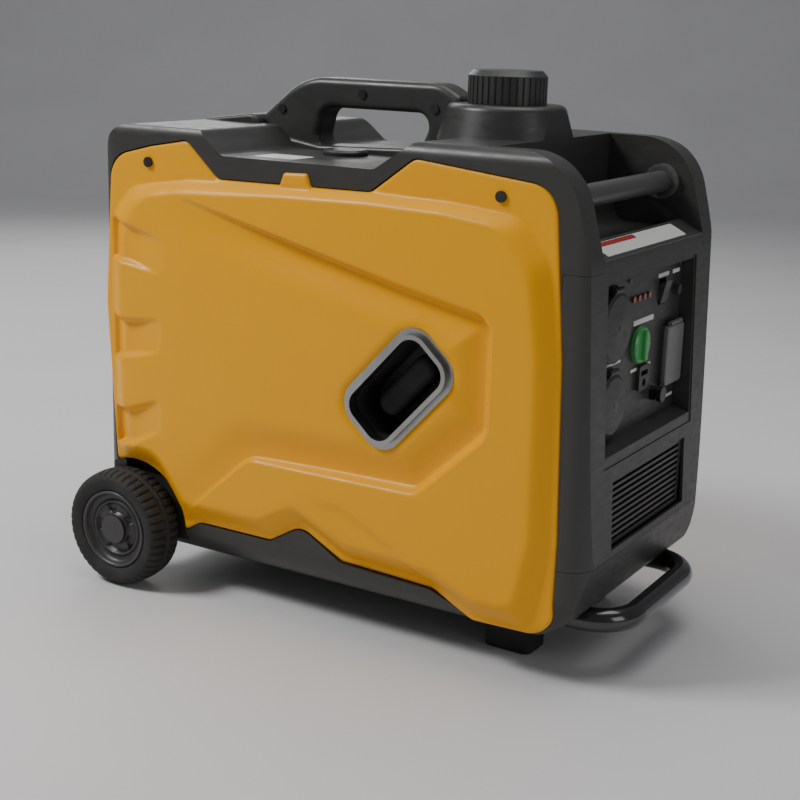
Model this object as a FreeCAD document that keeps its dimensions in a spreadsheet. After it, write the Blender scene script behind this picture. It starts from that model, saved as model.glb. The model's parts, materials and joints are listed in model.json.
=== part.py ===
import FreeCAD, Part
import math
import os
import Sketcher
from FreeCAD import Placement, Rotation, Vector

# Portable inverter generator, in millimetres. Row frame: origin on the ground under the
# middle of the machine, +X towards the control panel, -Y towards the recoil starter, +Z up.

DOC = FreeCAD.newDocument("portable_generator")

# ---------------------------------------------------------------------------------------
# Driving dimensions. Every one of them is a cell of the sheet "Sizes".
# ---------------------------------------------------------------------------------------
DIMENSIONS = {
    # casing
    "casing_half": 147, "casing_wall": 3, "casing_low": 36, "casing_front": 274,
    "casing_rear": -280, "corner_round": 24, "belly_round": 38, "nose_round": 84, "crown_round": 14,
    "seam_height": 114, "seam_gap": 0.4, "deck_height": 449, "deck_split": 426,
    "shoulder_height": 476, "rear_deck_height": 472, "front_setback": 36, "rear_setback": 24,
    # side panels
    "panel_gap": 0.6, "panel_rim": 10, "panel_rise": 13, "panel_skin": 4,
    "recess_depth": 2.2, "scallop_depth": 2.4, "screw_radius": 5, "screw_rise": 2.5,
    # recoil window and cup
    "window_x": 84.5, "window_z": 254.5, "window_long": 112, "window_short": 62,
    "window_tilt": 47.5, "window_round": 20, "bezel_lip": 4.5, "cup_depth": 44,
    "cup_wall": 2.5,
    # front grip bay, bar and ledge
    "bay_long": 116, "bay_half": 118, "bay_floor": 390, "ledge_high": 398,
    "ledge_low": 386, "ledge_setback": 12, "bar_setback": 57, "bar_z": 433,
    "bar_radius": 10.5, "bar_flange": 17, "bar_flange_thick": 6,
    # control panel
    "panel_low": 200, "panel_high": 367, "panel_near": -108, "panel_far": 104,
    "plate_setback": 24, "plate_thick": 4, "control_wall": 3, "round_y": -68,
    "upper_z": 320, "upper_radius": 31, "lower_z": 249, "lower_radius": 28,
    "duplex_y": 78, "duplex_z": 271, "duplex_half": 22, "duplex_tall": 30,
    "dial_z": 293, "dial_radius": 17.5, "socket_y": 12, "socket_z": 260, "socket_half": 12,
    "switch_y": 52, "switch_z": 336, "breaker_y": 84, "breaker_z": 334,
    "ground_y": 44, "ground_z": 238, "lamp_z": 338, "axle_small": 5, "switch_half": 7.5,
    "switch_tall": 11, "breaker_radius": 5, "post_radius": 3,
    # grilles
    "grille_half": 88, "grille_low": 121, "grille_high": 187, "grille_rows": 10,
    "vent_low": 170, "vent_high": 350, "vent_rows": 15, "slot_share": 0.55,
    "grille_thick": 5, "grille_border": 6, "grille_sink": 11,
    # carry handle and spine
    "handle_half": 17.5, "handle_top": 521, "handle_rear": -178, "handle_reach": 2.5,
    "handle_rim": 7, "grip_thick": 29, "spine_half": 20, "spine_height": 480,
    # fuel system
    "cap_x": 102, "cap_radius": 37.5, "cap_top": 536, "cap_skirt": 4, "dais_top": 505,
    "dais_rim": 18, "neck_radius": 28, "neck_wall": 3, "neck_top": 523,
    "tank_rear": 12, "tank_front": 150, "tank_half": 100, "tank_low": 330,
    "tank_high": 420, "tank_wall": 3, "tank_corner": 25, "tank_rim": 10,
    # spark plug hatch
    "hatch_x": -50, "hatch_y": -45, "hatch_radius": 22, "hatch_plug": 18, "hatch_rise": 6,
    # engine
    "crank_x": 20, "crank_z": 212, "shaft_radius": 12, "case_half": 50, "case_wide": 120,
    "case_low": 95, "cylinder_tilt": 30, "bore_block": 72, "fan_radius": 68,
    "rotor_radius": 65, "stator_radius": 85, "alternator_long": 50, "pulley_groove": 40,
    "pulley_long": 10, "rope_radius": 2.2, "rope_play": 1.2, "air_gap": 0.8,
    "recoil_radius": 60, "mount_radius": 14,
    # running gear
    "wheel_x": -238.5, "wheel_radius": 61, "wheel_wide": 42, "track_half": 185,
    "axle_radius": 8, "rim_radius": 41, "well_gap": 6, "well_side": 4, "foot_x": 175, "foot_y": 74,
    "foot_long": 50, "foot_wide": 37,
    # tow handle
    "tow_half": 95, "tow_radius": 11.5, "tow_height": 53, "tow_reach": 25.5,
    "tow_rear": -185, "tow_bend": 40, "guide_first": 120, "guide_last": 180,
    "guide_long": 22, "guide_wall": 3, "tow_play": 1.5,
    # exhaust
    "pipe_radius": 14, "pipe_wall": 2, "pipe_height": 240,
    # clearances
    "shaft_play": 0.05, "turn_play": 0.4, "fit_play": 0.3,
}

SHEET = DOC.addObject("Spreadsheet::Sheet", "Sizes")
for row, (alias, number) in enumerate(DIMENSIONS.items(), start=1):
    SHEET.set(f"A{row}", alias)
    SHEET.set(f"B{row}", str(number))
    SHEET.setAlias(f"B{row}", alias)
DOC.recompute()


class Size:
    """A length that carries its value and the sheet expression that drives it."""

    def __init__(self, value, text):
        self.value = float(value)
        self.text = text

    def __float__(self):
        return self.value

    def __add__(self, other):
        other = as_size(other)
        return Size(self.value + other.value, f"({self.text} + {other.text})")

    def __sub__(self, other):
        other = as_size(other)
        return Size(self.value - other.value, f"({self.text} - {other.text})")

    def __mul__(self, other):
        other = as_size(other)
        return Size(self.value * other.value, f"({self.text} * {other.text})")

    def __truediv__(self, other):
        other = as_size(other)
        return Size(self.value / other.value, f"({self.text} / {other.text})")

    def __neg__(self):
        return Size(-self.value, f"(0 - {self.text})")

    def __radd__(self, other):
        return as_size(other) + self

    def __rsub__(self, other):
        return as_size(other) - self

    def __rmul__(self, other):
        return as_size(other) * self


def as_size(number):
    if isinstance(number, Size):
        return number
    return Size(number, f"({number:.6f})")


class Sizes:
    """The sheet's cells, read back as Size values under their aliases."""

    def __init__(self):
        for name in DIMENSIONS:
            setattr(self, name, Size(SHEET.get(name), f"Sizes.{name}"))


S = Sizes()
NODES = []

# Places that follow from the driving dimensions.
FRONT_JOIN = S.casing_front - S.front_setback
REAR_JOIN = S.casing_rear + S.rear_setback
LEDGE_FRONT = S.casing_front - S.ledge_setback
PLATE_FACE = S.casing_front - S.plate_setback
BAY_REAR = S.casing_front - S.bay_long
BAR_X = S.casing_front - S.bar_setback
TOW_FRONT = S.casing_front + S.tow_reach
DAIS_RADIUS = S.cap_radius + S.dais_rim
HANDLE_FRONT = S.cap_x - S.cap_radius - S.handle_reach
PANEL_FACE = S.casing_half + S.panel_rise
TRAY_FLOOR = S.casing_low + S.casing_wall


def keep(thing, label):
    """Names an object as one finished piece of the machine."""
    thing.Label = label
    NODES.append(thing)
    return thing


def bind(thing, path, size):
    thing.setExpression(path, as_size(size).text)


def bind_place(thing, point, rotation=None):
    thing.Placement = Placement(Vector(*[float(c) for c in point]), rotation or Rotation())
    for letter, size in zip("xyz", point):
        bind(thing, f".Placement.Base.{letter}", size)


TURN = {
    "X": Rotation(Vector(0, 1, 0), 90),
    "Y": Rotation(Vector(1, 0, 0), -90),
    "Z": Rotation(),
}


# ---------------------------------------------------------------------------------------
# Bound primitives, sketches and booleans
# ---------------------------------------------------------------------------------------
def box(name, low, high):
    thing = DOC.addObject("Part::Box", name)
    for path, first, last in zip(("Length", "Width", "Height"), low, high):
        bind(thing, path, as_size(last) - first)
    bind_place(thing, low)
    return thing


def rod(name, axis, start, radius, length):
    """A cylinder from start along +X, +Y or +Z."""
    thing = DOC.addObject("Part::Cylinder", name)
    bind(thing, "Radius", radius)
    bind(thing, "Height", length)
    bind_place(thing, start, TURN[axis])
    return thing


def cone(name, axis, start, first_radius, last_radius, length):
    thing = DOC.addObject("Part::Cone", name)
    bind(thing, "Radius1", first_radius)
    bind(thing, "Radius2", last_radius)
    bind(thing, "Height", length)
    bind_place(thing, start, TURN[axis])
    return thing


def fuse(name, pieces):
    thing = DOC.addObject("Part::MultiFuse", name)
    thing.Shapes = pieces
    return thing


def group(name, pieces):
    thing = DOC.addObject("Part::Compound", name)
    thing.Links = pieces
    return thing


def cut(name, base, tools):
    thing = DOC.addObject("Part::Cut", name)
    thing.Base = base
    thing.Tool = tools[0] if len(tools) == 1 else fuse(name + "_cutters", tools)
    return thing


def origin_plane(body, role):
    return next(f for f in body.Origin.OriginFeatures if f.Role == role)


def sketch_on(body, name, role, offset):
    sketch = body.newObject("Sketcher::SketchObject", name)
    sketch.AttachmentSupport = (origin_plane(body, role), [""])
    sketch.MapMode = "FlatFace"
    sketch.AttachmentOffset = Placement(Vector(0, 0, float(offset)), Rotation())
    bind(sketch, ".AttachmentOffset.Base.z", offset)
    return sketch


def draw_polygon(sketch, corners):
    """A closed polygon whose every corner is held to the origin by bound distances."""
    first = sketch.GeometryCount
    flat = [Vector(float(u), float(v), 0) for u, v in corners]
    count = len(flat)
    for i in range(count):
        sketch.addGeometry(Part.LineSegment(flat[i], flat[(i + 1) % count]), False)
    for i in range(count):
        nxt = first + (i + 1) % count
        sketch.addConstraint(Sketcher.Constraint("Coincident", first + i, 2, nxt, 1))
    for i, (u, v) in enumerate(corners):
        for kind, size in (("DistanceX", u), ("DistanceY", v)):
            index = sketch.addConstraint(
                Sketcher.Constraint(kind, -1, 1, first + i, 1, float(size)))
            bind(sketch, f"Constraints[{index}]", size)


ROLE = {"XY": "XY_Plane", "XZ": "XZ_Plane", "YZ": "YZ_Plane"}
NORMAL = {"XY": Vector(0, 0, 1), "XZ": Vector(0, -1, 0), "YZ": Vector(1, 0, 0)}


def prism(name, plane, low, high, corners, round_radius=None, rim_radius=None, rim=None):
    """A body: a polygon padded from low to high, with rounded corners and one rounded rim.

    rim says which end is rounded: low, high or both.
    """
    body = DOC.addObject("PartDesign::Body", name)
    start = -as_size(high) if plane == "XZ" else low
    sketch = sketch_on(body, name + "_outline", ROLE[plane], start)
    draw_polygon(sketch, corners)
    pad = body.newObject("PartDesign::Pad", name + "_pad")
    pad.Profile = sketch
    bind(pad, "Length", as_size(high) - low)
    body.Tip = pad
    DOC.recompute()
    last = pad
    normal = NORMAL[plane]
    if round_radius is not None:
        upright = [
            f"Edge{i}" for i, e in enumerate(last.Shape.Edges, start=1)
            if len(e.Vertexes) == 2 and isinstance(e.Curve, Part.Line)
            and abs(abs(e.Curve.Direction.dot(normal)) - 1) < 1e-6
        ]
        last = add_fillet(body, name + "_corners", last, upright, round_radius)
    if rim_radius is not None:
        ends = {"low": [low], "high": [high], "both": [low, high]}[rim]
        along = "xyz".index({"XY": "z", "XZ": "y", "YZ": "x"}[plane])
        flat = [
            f"Edge{i}" for i, e in enumerate(last.Shape.Edges, start=1)
            if any(all(abs(v.Point[along] - float(end)) < 1e-5 for v in e.Vertexes)
                   for end in ends)
        ]
        last = add_fillet(body, name + "_rim", last, flat, rim_radius)
    return body


def add_fillet(body, name, base, edges, radius):
    fillet = body.newObject("PartDesign::Fillet", name)
    fillet.Base = (base, edges)
    bind(fillet, "Radius", radius)
    body.Tip = fillet
    DOC.recompute()
    return fillet


def turned(name, axis, centre, profile):
    """A body turned about an axis; the profile holds (radius, distance along the axis)."""
    body = DOC.addObject("PartDesign::Body", name)
    sketch = sketch_on(body, name + "_profile", ROLE["XZ"], as_size(0))
    draw_polygon(sketch, profile)
    revolution = body.newObject("PartDesign::Revolution", name + "_turn")
    revolution.Profile = sketch
    revolution.ReferenceAxis = (sketch, ["V_Axis"])
    revolution.Angle = 360
    body.Tip = revolution
    bind_place(body, centre, TURN[axis])
    return body


def rectangle(u_low, v_low, u_high, v_high):
    return [(u_low, v_low), (u_high, v_low), (u_high, v_high), (u_low, v_high)]


# ---------------------------------------------------------------------------------------
# Free-form casing: outlines with true arcs, extruded and intersected
# ---------------------------------------------------------------------------------------
def arc_outline(corners, to_space):
    """A closed wire through (u, v, radius) corners, each rounded by a tangent arc."""
    count = len(corners)
    flat = [Vector(float(u), float(v), 0) for u, v, _ in corners]
    stretches = []
    for i, (_, _, radius) in enumerate(corners):
        here = flat[i]
        before = (flat[i - 1] - here).normalize()
        after = (flat[(i + 1) % count] - here).normalize()
        half = before.getAngle(after) / 2
        if not float(radius):
            stretches.append((here, None, here))
            continue
        reach = float(radius) / math.tan(half)
        middle = (before + after).normalize()
        centre = here + middle * (float(radius) / math.sin(half))
        stretches.append((here + before * reach, centre - middle * float(radius),
                          here + after * reach))
    edges = []
    for i, (first, middle, last) in enumerate(stretches):
        if middle is not None:
            edges.append(Part.Arc(to_space(first), to_space(middle),
                                  to_space(last)).toShape())
        following = stretches[(i + 1) % count][0]
        if (following - last).Length > 1e-6:
            edges.append(Part.LineSegment(to_space(last), to_space(following)).toShape())
    return Part.Wire(edges)


def on_xz(y):
    return lambda p: Vector(p.x, float(y), p.y)


def on_yz(x):
    return lambda p: Vector(float(x), p.x, p.y)


def on_xy(z):
    return lambda p: Vector(p.x, p.y, float(z))


def slab(corners, plane, low, high, grow=0):
    """An extruded arc outline; grow offsets the outline outwards."""
    to_space = {"XZ": on_xz, "YZ": on_yz, "XY": on_xy}[plane](low)
    wire = arc_outline(corners, to_space)
    if float(grow):
        wire = wire.makeOffset2D(float(grow))
    span = float(high) - float(low)
    way = {"XZ": Vector(0, span, 0), "YZ": Vector(span, 0, 0), "XY": Vector(0, 0, span)}
    return Part.Face(wire).extrude(way[plane])


def block(low, high):
    size = [float(b) - float(a) for a, b in zip(low, high)]
    return Part.makeBox(*size, Vector(*[float(c) for c in low]))


def feature(label, shape):
    """A finished piece whose shape is made here, sewn back to one clean solid."""
    thing = DOC.addObject("Part::Feature", label)
    clean = shape.removeSplitter()
    if len(clean.Solids) == 1:
        clean = clean.Solids[0]
    thing.Shape = clean
    return keep(thing, label)


FAR = 900  # larger than the machine, for cutting tools that run right through


def casing_profile():
    """The casing's side silhouette, as (x, z, radius)."""
    front, rear = float(S.casing_front), float(S.casing_rear)
    low, deck = float(S.casing_low), float(S.deck_height)
    high, rear_high = float(S.shoulder_height), float(S.rear_deck_height)
    return [
        (rear + 18, low + 26, 20), (rear + 44, low, 25), (front - 58, low, 25),
        (front - 12, low + 30, 16), (front, float(S.seam_height), 8),
        (front - 4, float(S.panel_low), 60), (front - 12, float(S.ledge_low), 60),
        (front - 36, high - 1, 58), (88, high, 14), (48, deck, 14), (-124, deck, 14),
        (-152, rear_high, 12), (rear + 8, rear_high, 34), (rear, 320, 60),
        (rear + 2, float(S.seam_height), 6),
    ]


def casing_section(x, belly, inset):
    """The casing's outline across its length at x, as a wire."""
    half = float(S.casing_half)
    low, high = float(S.casing_low), float(S.shoulder_height)
    crown = float(S.crown_round)
    wire = arc_outline([(-half, low, belly), (half, low, belly), (half, high, crown),
                        (-half, high, crown)], on_yz(x))
    if inset:
        wire = wire.makeOffset2D(-float(inset))
    return wire


def casing_solid(inset):
    """The casing as one solid: three crossing outlines, all moved in by the same inset.

    The lower front corners are rounder than the rest: the section changes over the nose.
    """
    half = float(S.casing_half)
    front, rear = float(S.casing_front), float(S.casing_rear)
    belly, nose = float(S.belly_round), float(S.nose_round)
    corner = float(S.corner_round)
    nose_start = float(FRONT_JOIN)
    side = slab(casing_profile(), "XZ", -half, half, -inset)
    trunk = Part.Face(casing_section(-FAR, belly, inset)).extrude(
        Vector(FAR + nose_start, 0, 0))
    end = Part.makeLoft([casing_section(nose_start, belly, inset),
                         casing_section(front + 1, nose, inset)], True, True)
    plan = slab([(rear, -half, corner), (front, -half, corner), (front, half, corner),
                 (rear, half, corner)], "XY", -FAR, FAR, -inset)
    return side.common(trunk.fuse(end)).common(plan)


def wheel_wells(grow):
    """The room that each wheel turns in, from the inner wall outwards."""
    radius = float(S.wheel_radius + S.well_gap) + grow
    inner = float(S.track_half - S.wheel_wide - S.well_side) - grow
    wells = []
    for side in (-1, 1):
        start = Vector(float(S.wheel_x), side * inner, float(S.wheel_radius))
        wells.append(Part.makeCylinder(radius, FAR, start, Vector(0, side, 0)))
        rear_side = sorted((side * inner, side * FAR))
        wells.append(block((-FAR, rear_side[0], -1),
                           (S.wheel_x, rear_side[1], float(S.wheel_radius) + grow)))
    return wells


def panel_outline():
    """The side panel's outer edge, as (x, z, radius)."""
    front, rear = float(S.casing_front), float(S.casing_rear)
    return [
        (rear + 7, 292, 150), (rear + 17, 440, 30), (rear + 69, 453, 10),
        (rear + 114, 461, 8), (-128, 427, 12), (45, 429, 14), (90, 462, 14),
        (front - 45, 447.5, 30), (front - 32, 300, 0), (front - 27, 140, 0),
        (front - 28, 49, 26), (front - 109, 47, 18), (121, 67, 20), (21, 71, 12),
        (-26, 98, 20), (-63, 76, 12), (-151, 76, 10), (-172, 64, 6),
        (rear + 68, 128, 34), (rear + 18, 122, 8),
    ]


def shoulder_outlines():
    """The foot and the top of the raised field, corner for corner, as (x, z) pairs."""
    front, rear = float(S.casing_front), float(S.casing_rear)
    foot = [(rear + 18, 250), (rear + 18, 381), (rear + 44, 409), (-159, 423), (-47, 426),
            (47, 428), (129, 426), (front - 86, 421), (front - 52, 390), (front - 36, 300),
            (front - 34, 132), (front - 50, 56), (front - 106, 56), (124, 75), (24, 79),
            (-26, 106), (-65, 84), (-148, 84), (-170, 76), (rear + 74, 132),
            (rear + 26, 132)]
    top = [(rear + 40, 250), (rear + 40, 369), (rear + 62, 396), (-160, 409), (-47, 416),
           (47, 418), (125, 415), (front - 98, 409), (front - 69, 378), (front - 58, 300),
           (front - 56, 140), (front - 68, 74), (front - 102, 74), (129, 93), (32, 97),
           (-26, 126), (-70, 102), (-143, 102), (-160, 99), (rear + 84, 150),
           (rear + 44, 150)]
    return foot, top


RECESS = [(-186, 413, 6), (-25, 377, 60), (84, 353, 60), (172, 335, 10), (181, 322, 10),
          (181, 226, 14), (109, 158, 16), (-82, 158, 16), (-164, 84, 8), (-178, 100, 8)]
SCALLOPS = [(-224, -184, 333, 368), (-235, -188, 245, 284), (-231, -189, 158, 197)]


def window_corners(grow, radius):
    """The recoil window: a tilted rounded rectangle, as (x, z, radius)."""
    tilt = math.radians(float(S.window_tilt))
    long_half = float(S.window_long) / 2 + grow
    short_half = float(S.window_short) / 2 + grow
    corners = []
    for a, b in ((-1, -1), (1, -1), (1, 1), (-1, 1)):
        u, v = a * long_half, b * short_half
        corners.append((float(S.window_x) + u * math.cos(tilt) - v * math.sin(tilt),
                        float(S.window_z) + u * math.sin(tilt) + v * math.cos(tilt),
                        radius + grow))
    return corners


def polygon_wire(points, to_space):
    space = [to_space(Vector(x, z, 0)) for x, z in points]
    return Part.makePolygon(space + [space[0]])


def side_panel(label, side, has_window):
    """A moulded side panel: rim, raised field, recess, scallops and, once, the window."""
    rim_out = float(S.casing_half)
    rim_in = rim_out - float(S.panel_rim)
    skin = float(S.panel_skin)
    field_out = float(PANEL_FACE)

    def slice_at(corners, low, high, grow=0):
        ends = sorted((side * low, side * high))
        return slab(corners, "XZ", ends[0], ends[1], grow)

    foot, top = shoulder_outlines()

    def field(low, high):
        wires = [polygon_wire(foot, on_xz(side * low)), polygon_wire(top, on_xz(side * high))]
        return Part.makeLoft(wires, True, True)

    shape = slice_at(panel_outline(), rim_in, rim_out)
    shape = shape.fuse(field(rim_out, field_out))
    shape = shape.cut(slice_at(panel_outline(), rim_in, rim_out - skin, -skin))
    shape = shape.cut(field(rim_out - skin, field_out - skin))
    shape = shape.cut(slice_at(RECESS, field_out - float(S.recess_depth), FAR))
    for left, right, low, high in SCALLOPS:
        surface = field_out + 0.2
        wedge = Part.makePolygon([
            Vector(left, side * surface, low),
            Vector(left, side * (field_out - float(S.scallop_depth)), low),
            Vector(right, side * surface, low), Vector(left, side * surface, low)])
        shape = shape.cut(Part.Face(wedge).extrude(Vector(0, 0, high - low)))
    arch = Part.makeCylinder(float(S.wheel_radius + S.well_gap), 2 * FAR,
                             Vector(float(S.wheel_x), -FAR, float(S.wheel_radius)),
                             Vector(0, 1, 0))
    shape = shape.cut(arch)
    if has_window:
        shape = shape.cut(slice_at(window_corners(0, float(S.window_round)), 0, FAR))
    return feature(label, shape)


# ---------------------------------------------------------------------------------------
# Casing pieces
# ---------------------------------------------------------------------------------------
def bay_corners(grow):
    """The grip bay's side outline: open upwards and forwards, walled at rear and floor."""
    rear, floor = float(BAY_REAR), float(S.bay_floor)
    return [(rear - 4 - grow, FAR, 0), (rear - grow, 430, 20), (rear + 14, floor - grow, 14),
            (FRONT_JOIN + 200, floor - grow, 0), (FRONT_JOIN + 200, FAR, 0)]


SIDE_OPENING_DEPTH = 100.0  # the openings behind the side panels are cut in this far
SIDE_OPENING_LIP = 9.0      # left all round each of them, for the panel to sit on
WELL_SKIN = 6.0             # left between the wheel wells and those openings
FRAME_CUT = 40.0            # how far behind the front joint the front openings are cut
LEDGE_SKIRT = 12.0          # how far the ledge's front face drops
CHEEK_FOOT = 10.0           # the top cover's cheeks start this far below the ledge
CHEEK_BACK = 16.0           # behind the front joint, they fill the gap beside the panels
CHEEK_BACK_FOOT = 60.0      # and reach this far below the ledge there
SPINE_FLARE = 6.0           # the rear spine is this much wider than the middle one
DAIS_TALL = 34.0            # from the dais's top down into the deck
DAIS_FLARE = 10.0           # its foot is this much wider than its top
DAIS_ROUND = 7.0
SPINE_ROUND = 4.0
BORE_REACH = 200.0          # cutters for the deck's two holes run this far up


def casing_pieces():
    """The tray, the two frames and the top cover, parted at the seams; gives the outer form."""
    wall = float(S.casing_wall)
    gap = float(S.seam_gap)
    bay = slab(bay_corners(0), "XZ", -S.bay_half, S.bay_half)
    bay_wall = slab(bay_corners(wall), "XZ", -S.bay_half - wall, S.bay_half + wall)
    outer = casing_solid(0).cut(wheel_wells(0))
    inner = casing_solid(wall).cut(wheel_wells(wall))
    seat_depth = float(S.casing_half - S.panel_rim - S.fit_play)
    seats = []
    for side in (-1, 1):
        ends = sorted((side * seat_depth, side * FAR))
        seats.append(slab(panel_outline(), "XZ", ends[0], ends[1], float(S.panel_gap)))
    seat_back = []
    for side in (-1, 1):
        ends = sorted((side * (seat_depth - wall), side * FAR))
        seat_back.append(slab(panel_outline(), "XZ", ends[0], ends[1], wall))
    # The casing sides behind the panels are a wide open frame with a lip all round.
    side_holes = []
    for side in (-1, 1):
        ends = sorted((side * SIDE_OPENING_DEPTH, side * FAR))
        hole = slab(panel_outline(), "XZ", ends[0], ends[1], -SIDE_OPENING_LIP)
        side_holes.append(hole.cut(wheel_wells(wall + WELL_SKIN)))

    seam = float(S.seam_height)
    join_front, join_rear = float(FRONT_JOIN), float(REAR_JOIN)
    split = float(S.deck_split)
    ledge_zone = slab([(join_front, seam + gap, 0), (FAR, seam + gap, 0),
                       (FAR, S.ledge_low - LEDGE_SKIRT, 0), (LEDGE_FRONT, S.ledge_low, 0),
                       (join_front, S.ledge_high, 0)], "XZ", -S.bay_half + gap,
                      S.bay_half - gap)
    front_zone = block((join_front, -FAR, seam + gap), (FAR, FAR, S.ledge_low - CHEEK_FOOT))
    front_zone = front_zone.fuse(ledge_zone)
    tray_zone = block((-FAR, -FAR, -1), (FAR, FAR, seam))
    rear_zone = block((-FAR, -FAR, seam + gap), (join_rear, FAR, split - gap))
    top_zone = block((-FAR, -FAR, split), (join_front - gap, FAR, FAR))
    for side in (-1, 1):
        ends = sorted((side * float(S.bay_half), side * FAR))
        top_zone = top_zone.fuse(block((join_front - gap, ends[0], S.ledge_low - CHEEK_FOOT + gap),
                                       (FAR, ends[1], FAR)))
        top_zone = top_zone.fuse(block(
            (join_front - CHEEK_BACK, ends[0], S.ledge_low - CHEEK_BACK_FOOT),
            (join_front - gap, ends[1], FAR)))
    top_zone = top_zone.fuse(block((BAY_REAR - 12, -S.bay_half - wall, S.bay_floor - wall),
                                   (join_front - gap, S.bay_half + wall, FAR)))

    backs = inner.cut(seat_back)
    shell = outer.cut(backs).cut(seats)
    tray = shell.common(tray_zone).cut(side_holes)
    for side in (-1, 1):
        start = Vector(join_front - 30, side * float(S.tow_half), float(S.tow_height))
        hole = float(S.tow_radius + S.tow_play)
        tray = tray.cut(Part.makeCylinder(hole, 120, start, Vector(1, 0, 0)))
    tray = tray.cut(Part.makeCylinder(float(S.axle_radius + S.shaft_play), 2 * FAR,
                                      Vector(float(S.wheel_x), -FAR, float(S.wheel_radius)),
                                      Vector(0, 1, 0)))
    feature("base_tray", tray)

    ledge = slab([(join_front, S.ledge_high - wall, 0), (LEDGE_FRONT - 1, S.ledge_low - wall, 0),
                  (LEDGE_FRONT, S.ledge_low, 0), (join_front, S.ledge_high, 0)], "XZ",
                 -S.bay_half + gap, S.bay_half - gap)
    front = shell.common(front_zone).cut(side_holes).fuse(ledge)
    front = front.cut(block((join_front - FRAME_CUT, S.panel_near, S.panel_low),
                            (FAR, S.panel_far, S.panel_high)))
    front = front.cut(block((join_front - FRAME_CUT, -S.grille_half, S.grille_low),
                            (FAR, S.grille_half, S.grille_high)))
    feature("front_frame", front)

    rear = shell.common(rear_zone).cut(side_holes)
    rear = rear.cut(block((-FAR, -S.grille_half, S.vent_low),
                          (join_rear, S.grille_half, S.vent_high)))
    feature("rear_frame", rear)

    rear_spine = [(S.casing_rear + 38, 440, 0), (S.casing_rear + 38, S.rear_deck_height + 1, 0),
                  (-215, 477, 60), (-175, S.spine_height + 2, 10), (-162, 440, 0)]
    mid_spine = [(-175, 440, 0), (-175, 466, 4), (-100, 454, 20), (20, 458, 20),
                 (70, 478, 10), (90, 440, 0)]
    broad = float(S.spine_half) + SPINE_FLARE
    narrow = float(S.spine_half)
    spine = slab(rear_spine, "XZ", -broad, broad)
    spine = spine.fuse(slab(mid_spine, "XZ", -narrow, narrow))
    spine = rounded_top(spine, SPINE_ROUND)
    spine_room = slab(rear_spine, "XZ", wall - broad, broad - wall, -wall)
    spine_room = spine_room.fuse(slab(mid_spine, "XZ", wall - narrow, narrow - wall, -wall))
    dais_low = float(S.dais_top) - DAIS_TALL
    foot_radius = float(DAIS_RADIUS) + DAIS_FLARE
    dais = Part.makeCone(foot_radius, float(DAIS_RADIUS), DAIS_TALL,
                         Vector(float(S.cap_x), 0, dais_low))
    dais = rounded_top(dais, DAIS_ROUND)
    slant_wall = wall + 1
    dais_room = Part.makeCone(foot_radius - slant_wall, float(DAIS_RADIUS) - slant_wall,
                              DAIS_TALL, Vector(float(S.cap_x), 0, dais_low - wall))
    cavity = inner.fuse([dais_room, spine_room]).cut(bay_wall).cut(seat_back)
    top = outer.fuse([dais, spine]).common(top_zone).cut(bay).cut(seats).cut(cavity)
    neck_hole = float(S.neck_radius) + 1
    top = top.cut(Part.makeCylinder(neck_hole, BORE_REACH,
                                    Vector(float(S.cap_x), 0, split)))
    top = top.cut(Part.makeCylinder(float(S.hatch_plug + S.fit_play), BORE_REACH,
                                    Vector(float(S.hatch_x), float(S.hatch_y), split)))
    feature("top_cover", top)
    form = DOC.addObject("Part::Feature", "deck_form")
    form.Shape = outer.fuse([dais, spine])
    return form


def rounded_top(shape, radius):
    """Rounds every edge that bounds the highest faces."""
    top = shape.BoundBox.ZMax
    edges = [e for e in shape.Edges if e.BoundBox.ZMin > top - 30 and e.Length > radius]
    return shape.makeFillet(radius, edges)


DECK_FORM = casing_pieces()
side_panel("starter_side_panel", -1, True)
side_panel("plain_side_panel", 1, False)


# ---------------------------------------------------------------------------------------
# Recoil window: bezel and cup
# ---------------------------------------------------------------------------------------
def recoil_window():
    """The satin bezel clipped into the window, and the cup behind it."""
    face = float(PANEL_FACE)
    play, lip = float(S.fit_play), float(S.bezel_lip)
    wall, radius = float(S.cup_wall), float(S.window_round)
    proud, depth, flange_step, flange_back = 1.5, 12, 5, 8
    outer = slab(window_corners(-play, radius), "XZ", -face - proud, -face + depth)
    flange = slab(window_corners(flange_step, radius), "XZ",
                  -face + float(S.panel_skin) + play, -face + flange_back)
    hole = slab(window_corners(-lip, radius), "XZ", -FAR, 0)
    feature("window_bezel", outer.fuse(flange).cut(hole))
    mouth = face - depth - play
    floor = -mouth + float(S.cup_depth)
    cup = slab(window_corners(-lip + wall, radius), "XZ", -mouth, floor)
    room = slab(window_corners(-lip, radius), "XZ", -FAR, floor - wall)
    eyelet = Part.makeCylinder(float(S.rope_radius + S.rope_play), FAR,
                               Vector(float(S.window_x), -mouth, float(S.window_z)),
                               Vector(0, 1, 0))
    feature("recoil_cup", cup.cut(room).cut(eyelet))
    return as_size(floor)


CUP_FLOOR = recoil_window()


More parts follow.
